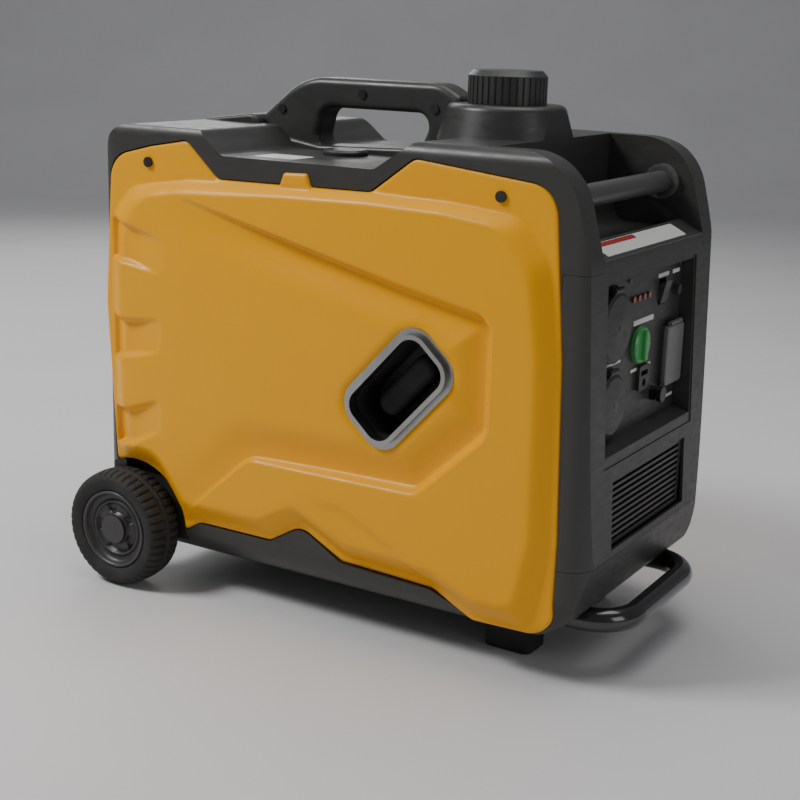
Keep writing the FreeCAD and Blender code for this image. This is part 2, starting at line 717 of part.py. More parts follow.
# ---------------------------------------------------------------------------------------
# Grilles
# ---------------------------------------------------------------------------------------
def slotted_plate(label, x_low, z_low, z_high, rows, holes=()):
    """A plate across X with evenly spaced level slots, made by a linear pattern."""
    name = label + "_body"
    y_half = S.grille_half - S.fit_play
    z_low, z_high = z_low + S.fit_play, z_high - S.fit_play
    body = DOC.addObject("PartDesign::Body", name)
    plate_sketch = sketch_on(body, name + "_outline", ROLE["YZ"], x_low)
    draw_polygon(plate_sketch, rectangle(-y_half, z_low, y_half, z_high))
    pad = body.newObject("PartDesign::Pad", name + "_pad")
    pad.Profile = plate_sketch
    bind(pad, "Length", S.grille_thick)
    body.Tip = pad
    pitch = (z_high - z_low) / (rows + 1)
    slot_tall = pitch * S.slot_share
    slot_low = z_low + pitch - slot_tall / 2
    slot_half = y_half - S.grille_border
    slot_sketch = sketch_on(body, name + "_slot_outline", ROLE["YZ"], x_low + S.grille_thick)
    draw_polygon(slot_sketch, rectangle(-slot_half, slot_low, slot_half,
                                        slot_low + slot_tall))
    slot = body.newObject("PartDesign::Pocket", name + "_slot")
    slot.Profile = slot_sketch
    slot.Type = "ThroughAll"
    body.Tip = slot
    DOC.recompute()
    pattern = body.newObject("PartDesign::LinearPattern", name + "_slots")
    pattern.Originals = [slot]
    pattern.Direction = (slot_sketch, ["V_Axis"])
    bind(pattern, "Length", pitch * (rows - 1))
    bind(pattern, "Occurrences", rows)
    body.Tip = pattern
    plate = cut(label + "_plate", body, list(holes)) if holes else body
    return keep(plate, label)


def grilles():
    slotted_plate("intake_grille", S.casing_front - S.grille_sink, S.grille_low,
                  S.grille_high, S.grille_rows)
    outlet = rod("exhaust_hole", "X", (S.casing_rear - S.grille_thick, 0, S.pipe_height),
                 S.pipe_radius + 2, S.grille_thick * 4)
    slotted_plate("exhaust_grille", S.casing_rear + 1, S.vent_low, S.vent_high, S.vent_rows,
                  [outlet])


grilles()


# ---------------------------------------------------------------------------------------
# Control panel and what is mounted in it
# ---------------------------------------------------------------------------------------
PLATE_BACK = PLATE_FACE - S.plate_thick
FLANGE = 3        # how far the outlets' flanges stand on the plate
LID_GAP = 0.4     # between an outlet's flange and its closed cover
CORE_DEPTH = 30   # how far the outlets' bodies reach behind the plate
CORE_STEP = 5     # the round outlets' bodies are this much smaller than their flanges
DUPLEX_CORE = (S.duplex_half - 5, S.duplex_tall - 5)
DRILL = 20        # a cutter this long runs through the plate, its holes and their flanges


def plate_hole(name, y, z, radius):
    return rod(name, "X", (PLATE_BACK - 5, y, z), radius, DRILL)


def plate_slot(name, y, z, y_half, z_half):
    start = PLATE_BACK - 5
    return box(name, (start, y - y_half, z - z_half), (start + DRILL, y + y_half, z + z_half))


def control_panel():
    """The sunk plate with its surrounding walls and sloping sill."""
    play, wall = S.fit_play, S.control_wall
    low, high = S.panel_low + play, S.panel_high - play
    near, far = S.panel_near + play, S.panel_far - play
    front_low, front_high = S.casing_front - 5, S.casing_front - 12.5
    sill_rise, sill_front = 15, 4
    tub = prism("control_tub", "XZ", near, far,
                [(PLATE_BACK, low), (front_low, low), (front_high, high), (PLATE_BACK, high)])
    beyond = front_low + DRILL
    room = prism("control_room", "XZ", near + wall, far - wall,
                 [(PLATE_FACE, low + sill_rise), (beyond, low + sill_front),
                  (beyond, high - wall), (PLATE_FACE, high - wall)])
    holes = [
        plate_hole("upper_hole", S.round_y, S.upper_z, S.upper_radius - CORE_STEP + play),
        plate_hole("lower_hole", S.round_y, S.lower_z, S.lower_radius - CORE_STEP + play),
        plate_hole("dial_hole", as_size(0), S.dial_z, S.axle_small + play),
        plate_slot("duplex_hole", S.duplex_y, S.duplex_z, DUPLEX_CORE[0] + play,
                   DUPLEX_CORE[1] + play),
        plate_slot("socket_hole", S.socket_y, S.socket_z, S.socket_half - 2 + play,
                   S.socket_half - 2 + play),
        plate_slot("switch_hole", S.switch_y, S.switch_z, S.switch_half + 1,
                   S.switch_tall + 1.5),
        plate_hole("breaker_hole", S.breaker_y, S.breaker_z, S.breaker_radius + play),
        plate_hole("ground_hole", S.ground_y, S.ground_z, S.post_radius + play),
    ]
    keep(cut("control_plate", tub, [room] + holes), "control_panel")


def round_outlet(label, z, radius):
    """A locking round outlet and the spring cover hinged above it."""
    y = S.round_y
    ear_half, ear_rise = 7, 6
    contact_ring, contact_radius = 13, 3
    flange = rod(label + "_flange", "X", (PLATE_FACE, y, z), radius, FLANGE)
    core = rod(label + "_core", "X", (PLATE_BACK - CORE_DEPTH, y, z), radius - CORE_STEP,
               S.plate_thick + CORE_DEPTH)
    ear = box(label + "_ear", (PLATE_FACE, y - ear_half, z + radius - FLANGE),
              (PLATE_FACE + FLANGE, y + ear_half, z + radius + ear_rise))
    contacts = []
    for turn in (90, 210, 330):
        angle = math.radians(turn)
        contacts.append(rod(f"{label}_contact_{turn}", "X",
                            (PLATE_FACE - 12, y + contact_ring * math.cos(angle),
                             z + contact_ring * math.sin(angle)), contact_radius, DRILL))
    keep(cut(label + "_socket", fuse(label + "_solid", [flange, core, ear]), contacts), label)
    lid = turned(label + "_lid", "X", (PLATE_FACE + FLANGE + LID_GAP, y, z),
                 [(0, 0), (radius + 1, 0), (radius + 1, 3.2), (radius - 2, 5.2), (0, 6.4)])
    knuckle_half, knuckle_radius = 9, 2.4
    knuckle = rod(label + "_knuckle", "Y",
                  (PLATE_FACE + 6, y - knuckle_half, z + radius + 3), knuckle_radius,
                  knuckle_half * 2)
    tongue = box(label + "_tongue", (PLATE_FACE + 4, y - knuckle_half, z + radius - 4),
                 (PLATE_FACE + 7, y + knuckle_half, z + radius + 3))
    keep(fuse(label + "_lid_all", [lid, knuckle, tongue]), label + "_cover")


def duplex_outlet():
    """The twin flat-blade outlet and its clear cover."""
    y, z = S.duplex_y, S.duplex_z
    half, tall = S.duplex_half, S.duplex_tall
    slot_half, slot_tall, slot_shift, slot_level = 1.3, 4, 6.5, 15
    face = prism("duplex_face", "YZ", PLATE_FACE, PLATE_FACE + FLANGE,
                 rectangle(y - half, z - tall, y + half, z + tall), 4)
    core = box("duplex_core", (PLATE_BACK - CORE_DEPTH, y - DUPLEX_CORE[0], z - DUPLEX_CORE[1]),
               (PLATE_FACE, y + DUPLEX_CORE[0], z + DUPLEX_CORE[1]))
    slots = []
    for place, level in (("low", z - slot_level), ("high", z + slot_level)):
        for hand, shift in (("left", -slot_shift), ("right", slot_shift)):
            slots.append(box(f"duplex_slot_{place}_{hand}",
                             (PLATE_FACE - 12, y + shift - slot_half, level - slot_tall),
                             (PLATE_FACE + 8, y + shift + slot_half, level + slot_tall)))
        slots.append(rod("duplex_ground_" + place, "X", (PLATE_FACE - 12, y, level - 9), 2.4,
                         DRILL))
    keep(cut("duplex_socket", fuse("duplex_solid", [face, core]), slots), "duplex_outlet")
    lid_low, lid_high = PLATE_FACE + FLANGE + LID_GAP, PLATE_FACE + 8
    lid = prism("duplex_lid", "YZ", lid_low, lid_high,
                rectangle(y - half + 1, z - tall + 1, y + half - 1, z + tall), 5, 1.5, "high")
    knuckle_half = half - 8
    knuckle = rod("duplex_knuckle", "Y", (PLATE_FACE + 6, y - knuckle_half, z + tall + 2), 2.3,
                  knuckle_half * 2)
    tongue = box("duplex_tongue", (PLATE_FACE + 4.2, y - knuckle_half, z + tall - 2),
                 (PLATE_FACE + 7, y + knuckle_half, z + tall + 2))
    keep(fuse("duplex_lid_all", [lid, knuckle, tongue]), "duplex_cover")


def controls():
    """Dial, low-voltage socket, rocker, breaker, earth post and lamps."""
    radius = S.dial_radius
    disc = turned("dial_disc", "X", (PLATE_FACE + LID_GAP, 0, S.dial_z),
                  [(0, 0), (radius, 0), (radius, 4), (radius - 1.5, 5.5), (0, 5.5)])
    grip = prism("dial_grip", "YZ", PLATE_FACE + 5, PLATE_FACE + 10,
                 rectangle(-3.5, S.dial_z - radius + 3, 3.5, S.dial_z + radius - 3), 3, 1.5,
                 "high")
    stem_depth = 12
    stem = rod("dial_stem", "X", (PLATE_BACK - stem_depth, 0, S.dial_z), S.axle_small,
               S.plate_thick + stem_depth + LID_GAP)
    keep(fuse("dial_all", [disc, grip, stem]), "engine_dial")

    y, z, half = S.socket_y, S.socket_z, S.socket_half
    frame = prism("socket_frame", "YZ", PLATE_FACE, PLATE_FACE + 4,
                  rectangle(y - half, z - half, y + half, z + half), 3)
    core = box("socket_core", (PLATE_BACK - 18, y - half + 2, z - half + 2),
               (PLATE_FACE, y + half - 2, z + half - 2))
    ports = [box("socket_port", (PLATE_FACE - 8, y - 8, z + 2), (PLATE_FACE + 8, y + 8, z + 7)),
             rod("socket_round", "X", (PLATE_FACE - 10, y, z - 5), 4, DRILL)]
    keep(cut("socket_all", fuse("socket_solid", [frame, core]), ports), "dc_socket")

    y, z, half, tall = S.switch_y, S.switch_z, S.switch_half, S.switch_tall
    keep(prism("switch_lever", "XZ", y - half, y + half,
               [(PLATE_FACE - 5, z - 6), (PLATE_FACE + 2, z - tall), (PLATE_FACE + 4.5, z),
                (PLATE_FACE + 7, z + tall), (PLATE_FACE - 5, z + 6)]), "eco_switch")
    keep(rod("breaker_pin", "X", (PLATE_BACK - 6, S.breaker_y, S.breaker_z), S.breaker_radius,
             16), "breaker_button")
    y, z = S.ground_y, S.ground_z
    post = rod("ground_stud", "X", (PLATE_BACK - 8, y, z), S.post_radius, 24)
    nut = rod("ground_nut", "X", (PLATE_FACE, y, z), 7, 5)
    wing = rod("ground_wing", "X", (PLATE_FACE + 7, y, z), 7.5, 5)
    keep(fuse("ground_all", [post, nut, wing]), "ground_terminal")
    lamps = [rod(f"lamp_{index}", "X", (PLATE_FACE, -20 + 12 * index, S.lamp_z), 3, 2.5)
             for index in range(4)]
    keep(group("lamp_group", lamps), "indicator_lights")


control_panel()
round_outlet("upper_outlet", S.upper_z, S.upper_radius)
round_outlet("lower_outlet", S.lower_z, S.lower_radius)
duplex_outlet()
controls()


# ---------------------------------------------------------------------------------------
# Grip bar, carry handle, labels, screws, feet
# ---------------------------------------------------------------------------------------
def grip_bar():
    """The round bar across the front bay, with a flange at each end."""
    half = S.bay_half - S.fit_play
    bar = rod("bar_tube", "Y", (BAR_X, -half, S.bar_z), S.bar_radius, half * 2)
    flanges = []
    for side, start in (("near", -half), ("far", half - S.bar_flange_thick)):
        flanges.append(rod("bar_flange_" + side, "Y", (BAR_X, start, S.bar_z), S.bar_flange,
                           S.bar_flange_thick))
    keep(fuse("bar_all", [bar] + flanges), "front_grip_bar")


def carry_handle():
    """Two moulded halves that meet on the middle plane, shaped to sit on the deck."""
    rear, front, top = float(S.handle_rear), float(HANDLE_FRONT), float(S.handle_top)
    under = top - float(S.grip_thick)
    outer = [(rear, 476, 8), (rear + 57, top, 70), (front - 24, top, 36), (front, 508, 9),
             (front, 475, 0), (24, 452, 0), (-112, 452, 0), (-150, 460, 0)]
    hole = [(-106, 454, 10), (-97, under, 15), (33, under, 13), (14, 454, 10)]
    half, rim = float(S.handle_half), float(S.handle_rim)
    for label, way in (("handle_near_half", -1), ("handle_far_half", 1)):
        side = slab(outer, "XZ", 0, way * half).cut(slab(hole, "XZ", 0, way * half))
        rims = [edge for edge in side.Edges
                if all(abs(v.Point.y - way * half) < 1e-6 for v in edge.Vertexes)
                and edge.BoundBox.ZMax > float(S.spine_height)]
        feature(label, side.makeFillet(rim, rims).cut(DECK_FORM.Shape))


def small_parts():
    screws = []
    handle_screw_rise = 1.6
    for side, way in (("near", -1), ("far", 1)):
        head = S.casing_half if way > 0 else -S.casing_half - S.screw_rise
        for end, x, z in (("rear", S.casing_rear + 67, 437), ("front", S.casing_front - 97, 436)):
            screws.append(rod(f"panel_screw_{side}_{end}", "Y", (x, head, z), S.screw_radius,
                              S.screw_rise))
        flank = S.handle_half if way > 0 else -S.handle_half - handle_screw_rise
        for place, x, z in (("rear", -146, 488), ("middle", -49, 507), ("front", 34, 497)):
            screws.append(rod(f"handle_screw_{side}_{place}", "Y", (x, flank, z), 4.5,
                              handle_screw_rise))
    keep(group("screw_group", screws), "case_screws")

    feet = []
    for name, way in (("near", -1), ("far", 1)):
        y = S.foot_y * way
        feet.append(prism("foot_" + name, "XY", as_size(0), S.casing_low,
                          rectangle(S.foot_x - S.foot_long / 2, y - S.foot_wide / 2,
                                    S.foot_x + S.foot_long / 2, y + S.foot_wide / 2),
                          8, 3, "low"))
    keep(group("foot_group", feet), "front_feet")

    film = 0.8
    slope = (S.ledge_high - S.ledge_low) / (LEDGE_FRONT - FRONT_JOIN)
    start, end = FRONT_JOIN + 3, LEDGE_FRONT - 3
    first = S.ledge_high - (start - FRONT_JOIN) * slope
    last = S.ledge_high - (end - FRONT_JOIN) * slope
    ledge = prism("ledge_label", "XZ", S.panel_near + 5, S.panel_far - 21,
                  [(start, first), (end, last), (end, last + film), (start, first + film)])
    deck = box("deck_label", (-100, -128, S.deck_height), (-53, -92, S.deck_height + film))
    keep(group("label_group", [ledge, deck]), "blank_labels")


grip_bar()
carry_handle()
small_parts()


# ---------------------------------------------------------------------------------------
# Running gear and tow handle
# ---------------------------------------------------------------------------------------
SPOKE_HOLES = 6
AXLE_REACH = S.track_half - 7


def wheel(name, way):
    """A tyre turned with a domed tread, and a hub with lightening holes."""
    half = S.wheel_wide / 2
    outer, seat = S.wheel_radius, S.rim_radius
    bore = S.axle_radius + S.shaft_play
    centre = (S.wheel_x, (S.track_half - half) * way, S.wheel_radius)
    keep(turned(name + "_tyre_ring", "Y", centre, [
        (seat, -half + 3), (seat + 6, -half), (outer - 8, -half), (outer - 2, -half + 5),
        (outer, -half + 12), (outer, half - 12), (outer - 2, half - 5), (outer - 8, half),
        (seat + 6, half), (seat, half - 3)]), name + "_tyre")
    flange, web, boss = seat - 4, 6, 18
    hub = turned(name + "_hub", "Y", centre, [(radius, across * way) for radius, across in (
        (bore, -half + 2), (boss, -half + 2), (boss + 1, -web), (flange - 2, -web),
        (flange, -half + 4), (seat, -half + 4), (seat, half - 4), (flange, half - 4),
        (flange - 2, web), (boss + 1, web), (boss, half - 13), (bore, half - 13))])
    holes = []
    hole_ring = (seat + 13) / 2
    for index in range(SPOKE_HOLES):
        angle = math.radians(360 / SPOKE_HOLES * (index + 0.5))
        holes.append(rod(f"{name}_hub_hole_{index}", "Y",
                         (S.wheel_x + hole_ring * math.cos(angle), centre[1] - half,
                          S.wheel_radius + hole_ring * math.sin(angle)), 6.5, S.wheel_wide))
    keep(cut(name + "_rim_cut", hub, holes), name + "_rim")


def axle():
    disc_thick, disc_radius, collar_long, collar_radius = 4, 15, 5, 12
    keep(rod("axle_bar", "Y", (S.wheel_x, -AXLE_REACH, S.wheel_radius), S.axle_radius,
             AXLE_REACH * 2), "wheel_axle")
    caps = []
    for name, way in (("near", -1), ("far", 1)):
        disc_start = AXLE_REACH if way > 0 else -AXLE_REACH - disc_thick
        collar_start = AXLE_REACH - collar_long if way > 0 else -AXLE_REACH
        disc = rod("axle_cap_disc_" + name, "Y", (S.wheel_x, disc_start, S.wheel_radius),
                   disc_radius, disc_thick)
        collar_at = (S.wheel_x, collar_start, S.wheel_radius)
        collar = rod("axle_cap_collar_" + name, "Y", collar_at, collar_radius, collar_long)
        bore = rod("axle_cap_bore_" + name, "Y", collar_at, S.axle_radius, collar_long)
        caps.append(cut("axle_cap_" + name, fuse("axle_cap_solid_" + name, [disc, collar]),
                        [bore]))
    keep(group("axle_cap_group", caps), "axle_caps")


wheel("left", -1)
wheel("right", 1)
axle()


def tow_handle():
    """A U-shaped tube that slides out of the base tray, and the four guides it runs in."""
    radius, bend = S.tow_radius, S.tow_bend
    cross = TOW_FRONT - radius
    pieces = []
    for name, way in (("near", -1), ("far", 1)):
        y = S.tow_half * way
        pieces.append(rod("tow_leg_" + name, "X", (S.tow_rear, y, S.tow_height), radius,
                          cross - bend - S.tow_rear))
        corner = DOC.addObject("Part::Torus", "tow_corner_" + name)
        bind(corner, "Radius1", bend)
        bind(corner, "Radius2", radius)
        corner.Angle3 = 90
        spin = Rotation() if way > 0 else Rotation(Vector(0, 0, 1), -90)
        bind_place(corner, (cross - bend, y - bend * way, S.tow_height), spin)
        pieces.append(corner)
    pieces.append(rod("tow_cross", "Y", (cross, -S.tow_half + bend, S.tow_height), radius,
                      S.tow_half * 2 - bend * 2))
    keep(fuse("tow_all", pieces), "tow_handle")

    guides = []
    foot_inner, foot_outer, foot_tall = 20, 5, 12
    for name, way in (("near", -1), ("far", 1)):
        y = S.tow_half * way
        for end, x in (("rear", S.guide_first), ("front", S.guide_last)):
            tag = f"{name}_{end}"
            ring = rod("guide_ring_" + tag, "X", (x, y, S.tow_height), radius + S.guide_wall,
                       S.guide_long)
            inner, outer = y - foot_inner * way, y - foot_outer * way
            low, high = (outer, inner) if way < 0 else (inner, outer)
            foot = box("guide_foot_" + tag, (x, low, TRAY_FLOOR),
                       (x + S.guide_long, high, TRAY_FLOOR + foot_tall))
            bore = rod("guide_bore_" + tag, "X", (x - 1, y, S.tow_height),
                       radius + S.shaft_play, S.guide_long + 2)
            below = box("guide_below_" + tag, (x - 1, y - 30, TRAY_FLOOR - 10),
                        (x + S.guide_long + 1, y + 30, TRAY_FLOOR))
            guides.append(cut("guide_" + tag, fuse("guide_solid_" + tag, [ring, foot]),
                              [bore, below]))
    keep(group("guide_group", guides), "tow_guides")


tow_handle()


# ---------------------------------------------------------------------------------------
# Fuel system and spark plug hatch
# ---------------------------------------------------------------------------------------
CAP_GROOVES = 36


def fuel_cap(skirt_low):
    """The ribbed outer shell, and the liner that grips the filler neck."""
    x, radius, roof = S.cap_x, S.cap_radius, 5
    skirt_in = radius - S.cap_skirt
    tall = S.cap_top - skirt_low
    crown = turned("cap_shell", "Z", (x, as_size(0), skirt_low), [
        (skirt_in, 0), (radius, 0), (radius, tall - roof), (radius - roof, tall), (0, tall),
        (0, tall - roof), (skirt_in, tall - roof)])
    grooves = []
    for index in range(CAP_GROOVES):
        angle = math.radians(360 / CAP_GROOVES * index)
        grooves.append(rod(f"cap_groove_{index}", "Z",
                           (x + radius * math.cos(angle), radius * math.sin(angle),
                            skirt_low - 1), 1.1, tall - roof))
    keep(cut("cap_ribbed", crown, grooves), "fuel_cap")
    liner_low = skirt_low + 3
    liner_tall = skirt_low + tall - roof - S.turn_play - liner_low
    liner_in, liner_out = S.neck_radius + S.turn_play, skirt_in - S.turn_play
    keep(turned("cap_insert", "Z", (x, as_size(0), liner_low), [
        (liner_in, 0), (liner_out, 0), (liner_out, liner_tall), (0, liner_tall),
        (0, liner_tall - 2), (liner_in, liner_tall - 2)]), "fuel_cap_insert")


def tank():
    """The tank under the deck and its filler neck."""
    neck_in, neck_tall = S.neck_radius - S.neck_wall, S.neck_top - S.tank_high
    keep(turned("neck_tube", "Z", (S.cap_x, as_size(0), S.tank_high), [
        (neck_in, 0), (S.neck_radius, 0), (S.neck_radius, neck_tall), (neck_in, neck_tall)]),
        "filler_neck")
    wall, corner, rim = S.tank_wall, S.tank_corner, S.tank_rim
    shell = prism("tank_shell", "XY", S.tank_low, S.tank_high,
                  rectangle(S.tank_rear, -S.tank_half, S.tank_front, S.tank_half), corner, rim,
                  "both")
    room = prism("tank_room", "XY", S.tank_low + wall, S.tank_high - wall,
                 rectangle(S.tank_rear + wall, -S.tank_half + wall, S.tank_front - wall,
                           S.tank_half - wall), corner - wall, rim - wall, "both")
    mouth = rod("tank_mouth", "Z", (S.cap_x, as_size(0), S.tank_high - 20), neck_in, 40)
    keep(cut("tank_all", shell, [room, mouth]), "fuel_tank")


def plug_hatch():
    """The round spark plug hatch and the ring that seals it to the deck."""
    x, y, plug, radius = S.hatch_x, S.hatch_y, S.hatch_plug, S.hatch_radius
    seal_thick, plug_deep = 2, 12
    under = S.deck_height + seal_thick + 0.2
    keep(turned("hatch_disc", "Z", (x, y, under), [
        (0, -plug_deep), (plug, -plug_deep), (plug, 0), (radius, 0),
        (radius, S.hatch_rise - 4.5), (radius - 2, S.hatch_rise - 2.5),
        (0, S.hatch_rise - 2.2)]), "plug_hatch")
    keep(turned("hatch_ring", "Z", (x, y, S.deck_height), [
        (plug + 0.5, 0), (radius, 0), (radius, seal_thick), (plug + 0.5, seal_thick)]),
        "hatch_seal")


fuel_cap(S.dais_top + S.turn_play)
tank()
plug_hatch()


# ---------------------------------------------------------------------------------------
# Engine, alternator, recoil starter
# ---------------------------------------------------------------------------------------
FINS = 7
FAN_BLADES = 12
STATOR_COILS = 12
CYLINDER_SEAT = 56    # from the crankshaft's axis to the cylinder's foot
LEAN = Placement(
    Vector(float(S.crank_x), 0, float(S.crank_z)),
    Rotation(Vector(0, 1, 0), -float(S.cylinder_tilt))) * Placement(
        Vector(0, 0, CYLINDER_SEAT), Rotation())


def on_cylinder(thing, offset=Vector()):
    """Places an object, made upright at the origin, on the leaning cylinder's axis."""
    thing.Placement = LEAN * Placement(offset, Rotation())
    return thing


def crankcase():
    x, z, half, wide = S.crank_x, S.crank_z, S.case_half, S.case_wide / 2
    case_top, crank_room_half = 56, 22
    case = prism("case_block", "XZ", -half, half,
                 rectangle(x - wide, S.case_low, x + wide, z + case_top), 14)
    crank_room = rod("case_room", "Y", (x, as_size(-crank_room_half), z), 42,
                     crank_room_half * 2)
    bearing = rod("case_bearing", "Y", (x, -half - 2, z), S.shaft_radius + S.shaft_play,
                  half * 2 + 4)
    # The cylinder stands on a face square to its own axis.
    top_cut = DOC.addObject("Part::Box", "case_top_cut")
    bind(top_cut, "Length", wide * 3)
    bind(top_cut, "Width", half * 2 + 4)
    bind(top_cut, "Height", S.case_wide)
    on_cylinder(top_cut, Vector(-float(wide) * 1.5, -float(half) - 2, 0))
    keep(cut("case_all", case, [crank_room, bearing, top_cut]), "crankcase")


def cylinder():
    """The finned barrel, its head and the spark plug screwed into it."""
    block = S.bore_block / 2
    barrel_tall, head_tall, fin_pitch, fin_thick = 70, 30, 9, 3.5
    core = prism("cylinder_core", "XY", as_size(0), as_size(barrel_tall),
                 rectangle(-block + 8, -block + 8, block - 8, block - 8), 6)
    fins = []
    for index in range(FINS):
        level = 6 + fin_pitch * index
        fins.append(prism(f"cylinder_fin_{index}", "XY", as_size(level),
                          as_size(level + fin_thick),
                          rectangle(-block, -block, block, block), 8))
    keep(on_cylinder(fuse("cylinder_all", [core] + fins)), "cylinder")
    head = prism("head_block", "XY", as_size(barrel_tall), as_size(barrel_tall + head_tall),
                 rectangle(-block, -block, block, block), 10, 6, "high")
    plug_x, plug_y, plug_radius = 8, -22, 8
    plug_seat = rod("plug_seat", "Z", (plug_x, plug_y, barrel_tall + 10), plug_radius + 0.2,
                    head_tall * 2)
    keep(on_cylinder(cut("head_all", head, [plug_seat])), "head_cover")
    plug = turned("plug_body", "Z", (plug_x, plug_y, barrel_tall + 16), [
        (0, 0), (plug_radius, 0), (plug_radius, 14), (10.5, 14), (10.5, 22), (7, 24), (6, 48),
        (3, 50), (3, 56), (0, 56)])
    keep(on_cylinder(group("plug_all", [plug])), "spark_plug")


def crankshaft():
    """The crankshaft with its webs, and the flywheel fan on its starter end."""
    x, z, half, shaft = S.crank_x, S.crank_z, S.case_half, S.shaft_radius
    web, throw, pin = 36, 20, 10
    end = half + S.alternator_long + 7
    keep(turned("crank_turned", "Y", (x, as_size(0), z), [
        (0, -half - 32), (shaft, -half - 32), (shaft, -throw), (web, -throw), (web, -8),
        (pin, -8), (pin, 8), (web, 8), (web, throw), (shaft, throw), (shaft, end), (0, end)]),
        "crankshaft")
    fan_low = -half - 34
    rim = S.fan_radius
    disc = turned("fan_disc", "Y", (x, as_size(0), z), [
        (shaft, fan_low + 8), (rim - 22, fan_low + 8), (rim - 16, fan_low + 12),
        (rim, fan_low + 12), (rim, fan_low + 30), (rim - 8, fan_low + 30),
        (rim - 8, fan_low + 18), (shaft, fan_low + 18)])
    blade_start, blade_wide, blade_thick = 28, 12, 3
    blades = []
    for index in range(FAN_BLADES):
        blade = DOC.addObject("Part::Box", f"fan_blade_{index}")
        bind(blade, "Length", rim - blade_start - 2)
        bind(blade, "Width", blade_wide)
        bind(blade, "Height", blade_thick)
        spin = Rotation(Vector(0, 1, 0), 360 / FAN_BLADES * index)
        blade.Placement = Placement(Vector(float(x), float(fan_low), float(z)), spin) * \
            Placement(Vector(blade_start, 0, -blade_thick / 2), Rotation())
        blades.append(blade)
    keep(fuse("fan_all", [disc] + blades), "flywheel_fan")


def alternator():
    x, z, half, long = S.crank_x, S.crank_z, S.case_half, S.alternator_long
    shaft, rotor, stator = S.shaft_radius, S.rotor_radius, S.stator_radius
    foot = 4
    keep(turned("rotor_cup", "Y", (x, half + foot, z), [
        (shaft, 0), (20, 0), (20, 6), (rotor - 8, 6), (rotor - 2, 0), (rotor, 2), (rotor, long),
        (rotor - 10, long), (rotor - 10, 14), (shaft, 14)]), "alternator_rotor")
    ring_in = rotor + S.air_gap
    ring = turned("stator_ring", "Y", (x, half, z), [
        (ring_in, foot), (ring_in + 5, foot), (ring_in + 5, 0), (stator, 0),
        (stator, foot + long), (ring_in, foot + long)])
    coils = []
    coil_ring = (ring_in + stator) / 2
    for index in range(STATOR_COILS):
        angle = math.radians(360 / STATOR_COILS * (index + 0.5))
        coils.append(rod(f"stator_coil_{index}", "Y",
                         (x + coil_ring * math.cos(angle), half + foot + long,
                          z + coil_ring * math.sin(angle)), 8, 6))
    keep(fuse("stator_all", [ring] + coils), "alternator_stator")


def recoil_starter():
    """Housing, rope pulley, the rope's fixed run and the grip in the window's cup."""
    x, z = S.crank_x, S.crank_z
    groove, housing, long, hub = S.pulley_groove, S.recoil_radius, S.pulley_long, 8
    back = CUP_FLOOR + 1
    rope_y = back + 4 + long / 2
    rope_z = z + groove + S.rope_radius
    cup = turned("housing_cup", "Y", (x, back, z), [
        (0, 0), (housing, 0), (housing, long + 6), (housing - 3, long + 6), (housing - 3, 3),
        (hub, 3), (hub, long + 5), (0, long + 5)])
    rope_gap = rod("housing_rope_gap", "X", (x, rope_y, rope_z), S.rope_radius + 1,
                   housing + 20)
    keep(cut("housing_all", cup, [rope_gap]), "recoil_housing")
    pulley_bore, flange = hub + S.shaft_play, groove + 8
    keep(turned("pulley_turned", "Y", (x, back + 4, z), [
        (pulley_bore, 0), (flange, 0), (flange, 2), (groove, 3), (groove, long - 3),
        (flange, long - 2), (flange, long), (pulley_bore, long)]), "recoil_pulley")

    turn = 12
    elbow = DOC.addObject("Part::Torus", "rope_elbow")
    elbow.Radius1 = turn
    bind(elbow, "Radius2", S.rope_radius)
    elbow.Angle3 = 90
    bind_place(elbow, (S.window_x - turn, rope_y - turn, rope_z))
    grip_back = CUP_FLOOR - S.cup_wall - 8
    run = rod("rope_run", "X", (x, rope_y, rope_z), S.rope_radius, S.window_x - turn - x)
    lead = rod("rope_lead", "Y", (S.window_x, grip_back, rope_z), S.rope_radius,
               rope_y - turn - grip_back)
    keep(fuse("rope_all", [run, elbow, lead]), "pull_rope")

    half_long, half_wide, thick, stem = 37, 12, 24, 4
    grip = prism("grip_bar", "XZ", as_size(-thick), as_size(0),
                 rectangle(-half_long, -half_wide, half_long, half_wide), 11, 7, "both")
    boss = cone("grip_stem", "Y", (as_size(0), as_size(-2), as_size(0)), 9, 6, stem + 2)
    whole = fuse("grip_all", [grip, boss])
    bind_place(whole, (S.window_x, grip_back - stem, S.window_z),
               Rotation(Vector(0, -1, 0), float(S.window_tilt)))
    keep(whole, "recoil_grip")


crankcase()
cylinder()
crankshaft()
alternator()
recoil_starter()


# ---------------------------------------------------------------------------------------
# Exhaust, air intake, electronics and engine mounts
# ---------------------------------------------------------------------------------------
INVERTER_FINS = 14


def muffler():
    body = prism("muffler_body", "XZ", as_size(-62), as_size(62),
                 rectangle(-238, 185, -140, 300), 22, 6, "both")
    pipe = rod("muffler_pipe", "X", (S.casing_rear + 1, as_size(0), S.pipe_height),
               S.pipe_radius, 60)
    bore = rod("muffler_bore", "X", (S.casing_rear - 1, as_size(0), S.pipe_height),
               S.pipe_radius - S.pipe_wall, 50)
    keep(cut("muffler_all", fuse("muffler_solid", [body, pipe]), [bore]), "muffler")


def air_intake():
    """The filter box beside the cylinder head and the carburettor between them."""
    filter_near, filter_far, barrel_start, barrel_radius = 72, 126, 36.6, 15
    keep(prism("filter_box", "XZ", as_size(filter_near), as_size(filter_far),
               rectangle(-82, 305, 2, 392), 12, 4, "both"), "air_filter_box")
    barrel = rod("carburetor_barrel", "Y", (-52, barrel_start, 345), barrel_radius,
                 filter_near - 0.3 - barrel_start)
    bowl = rod("carburetor_bowl", "Z", (-52, 54, 318), 13, 24)
    keep(fuse("carburetor_all", [barrel, bowl]), "carburetor")


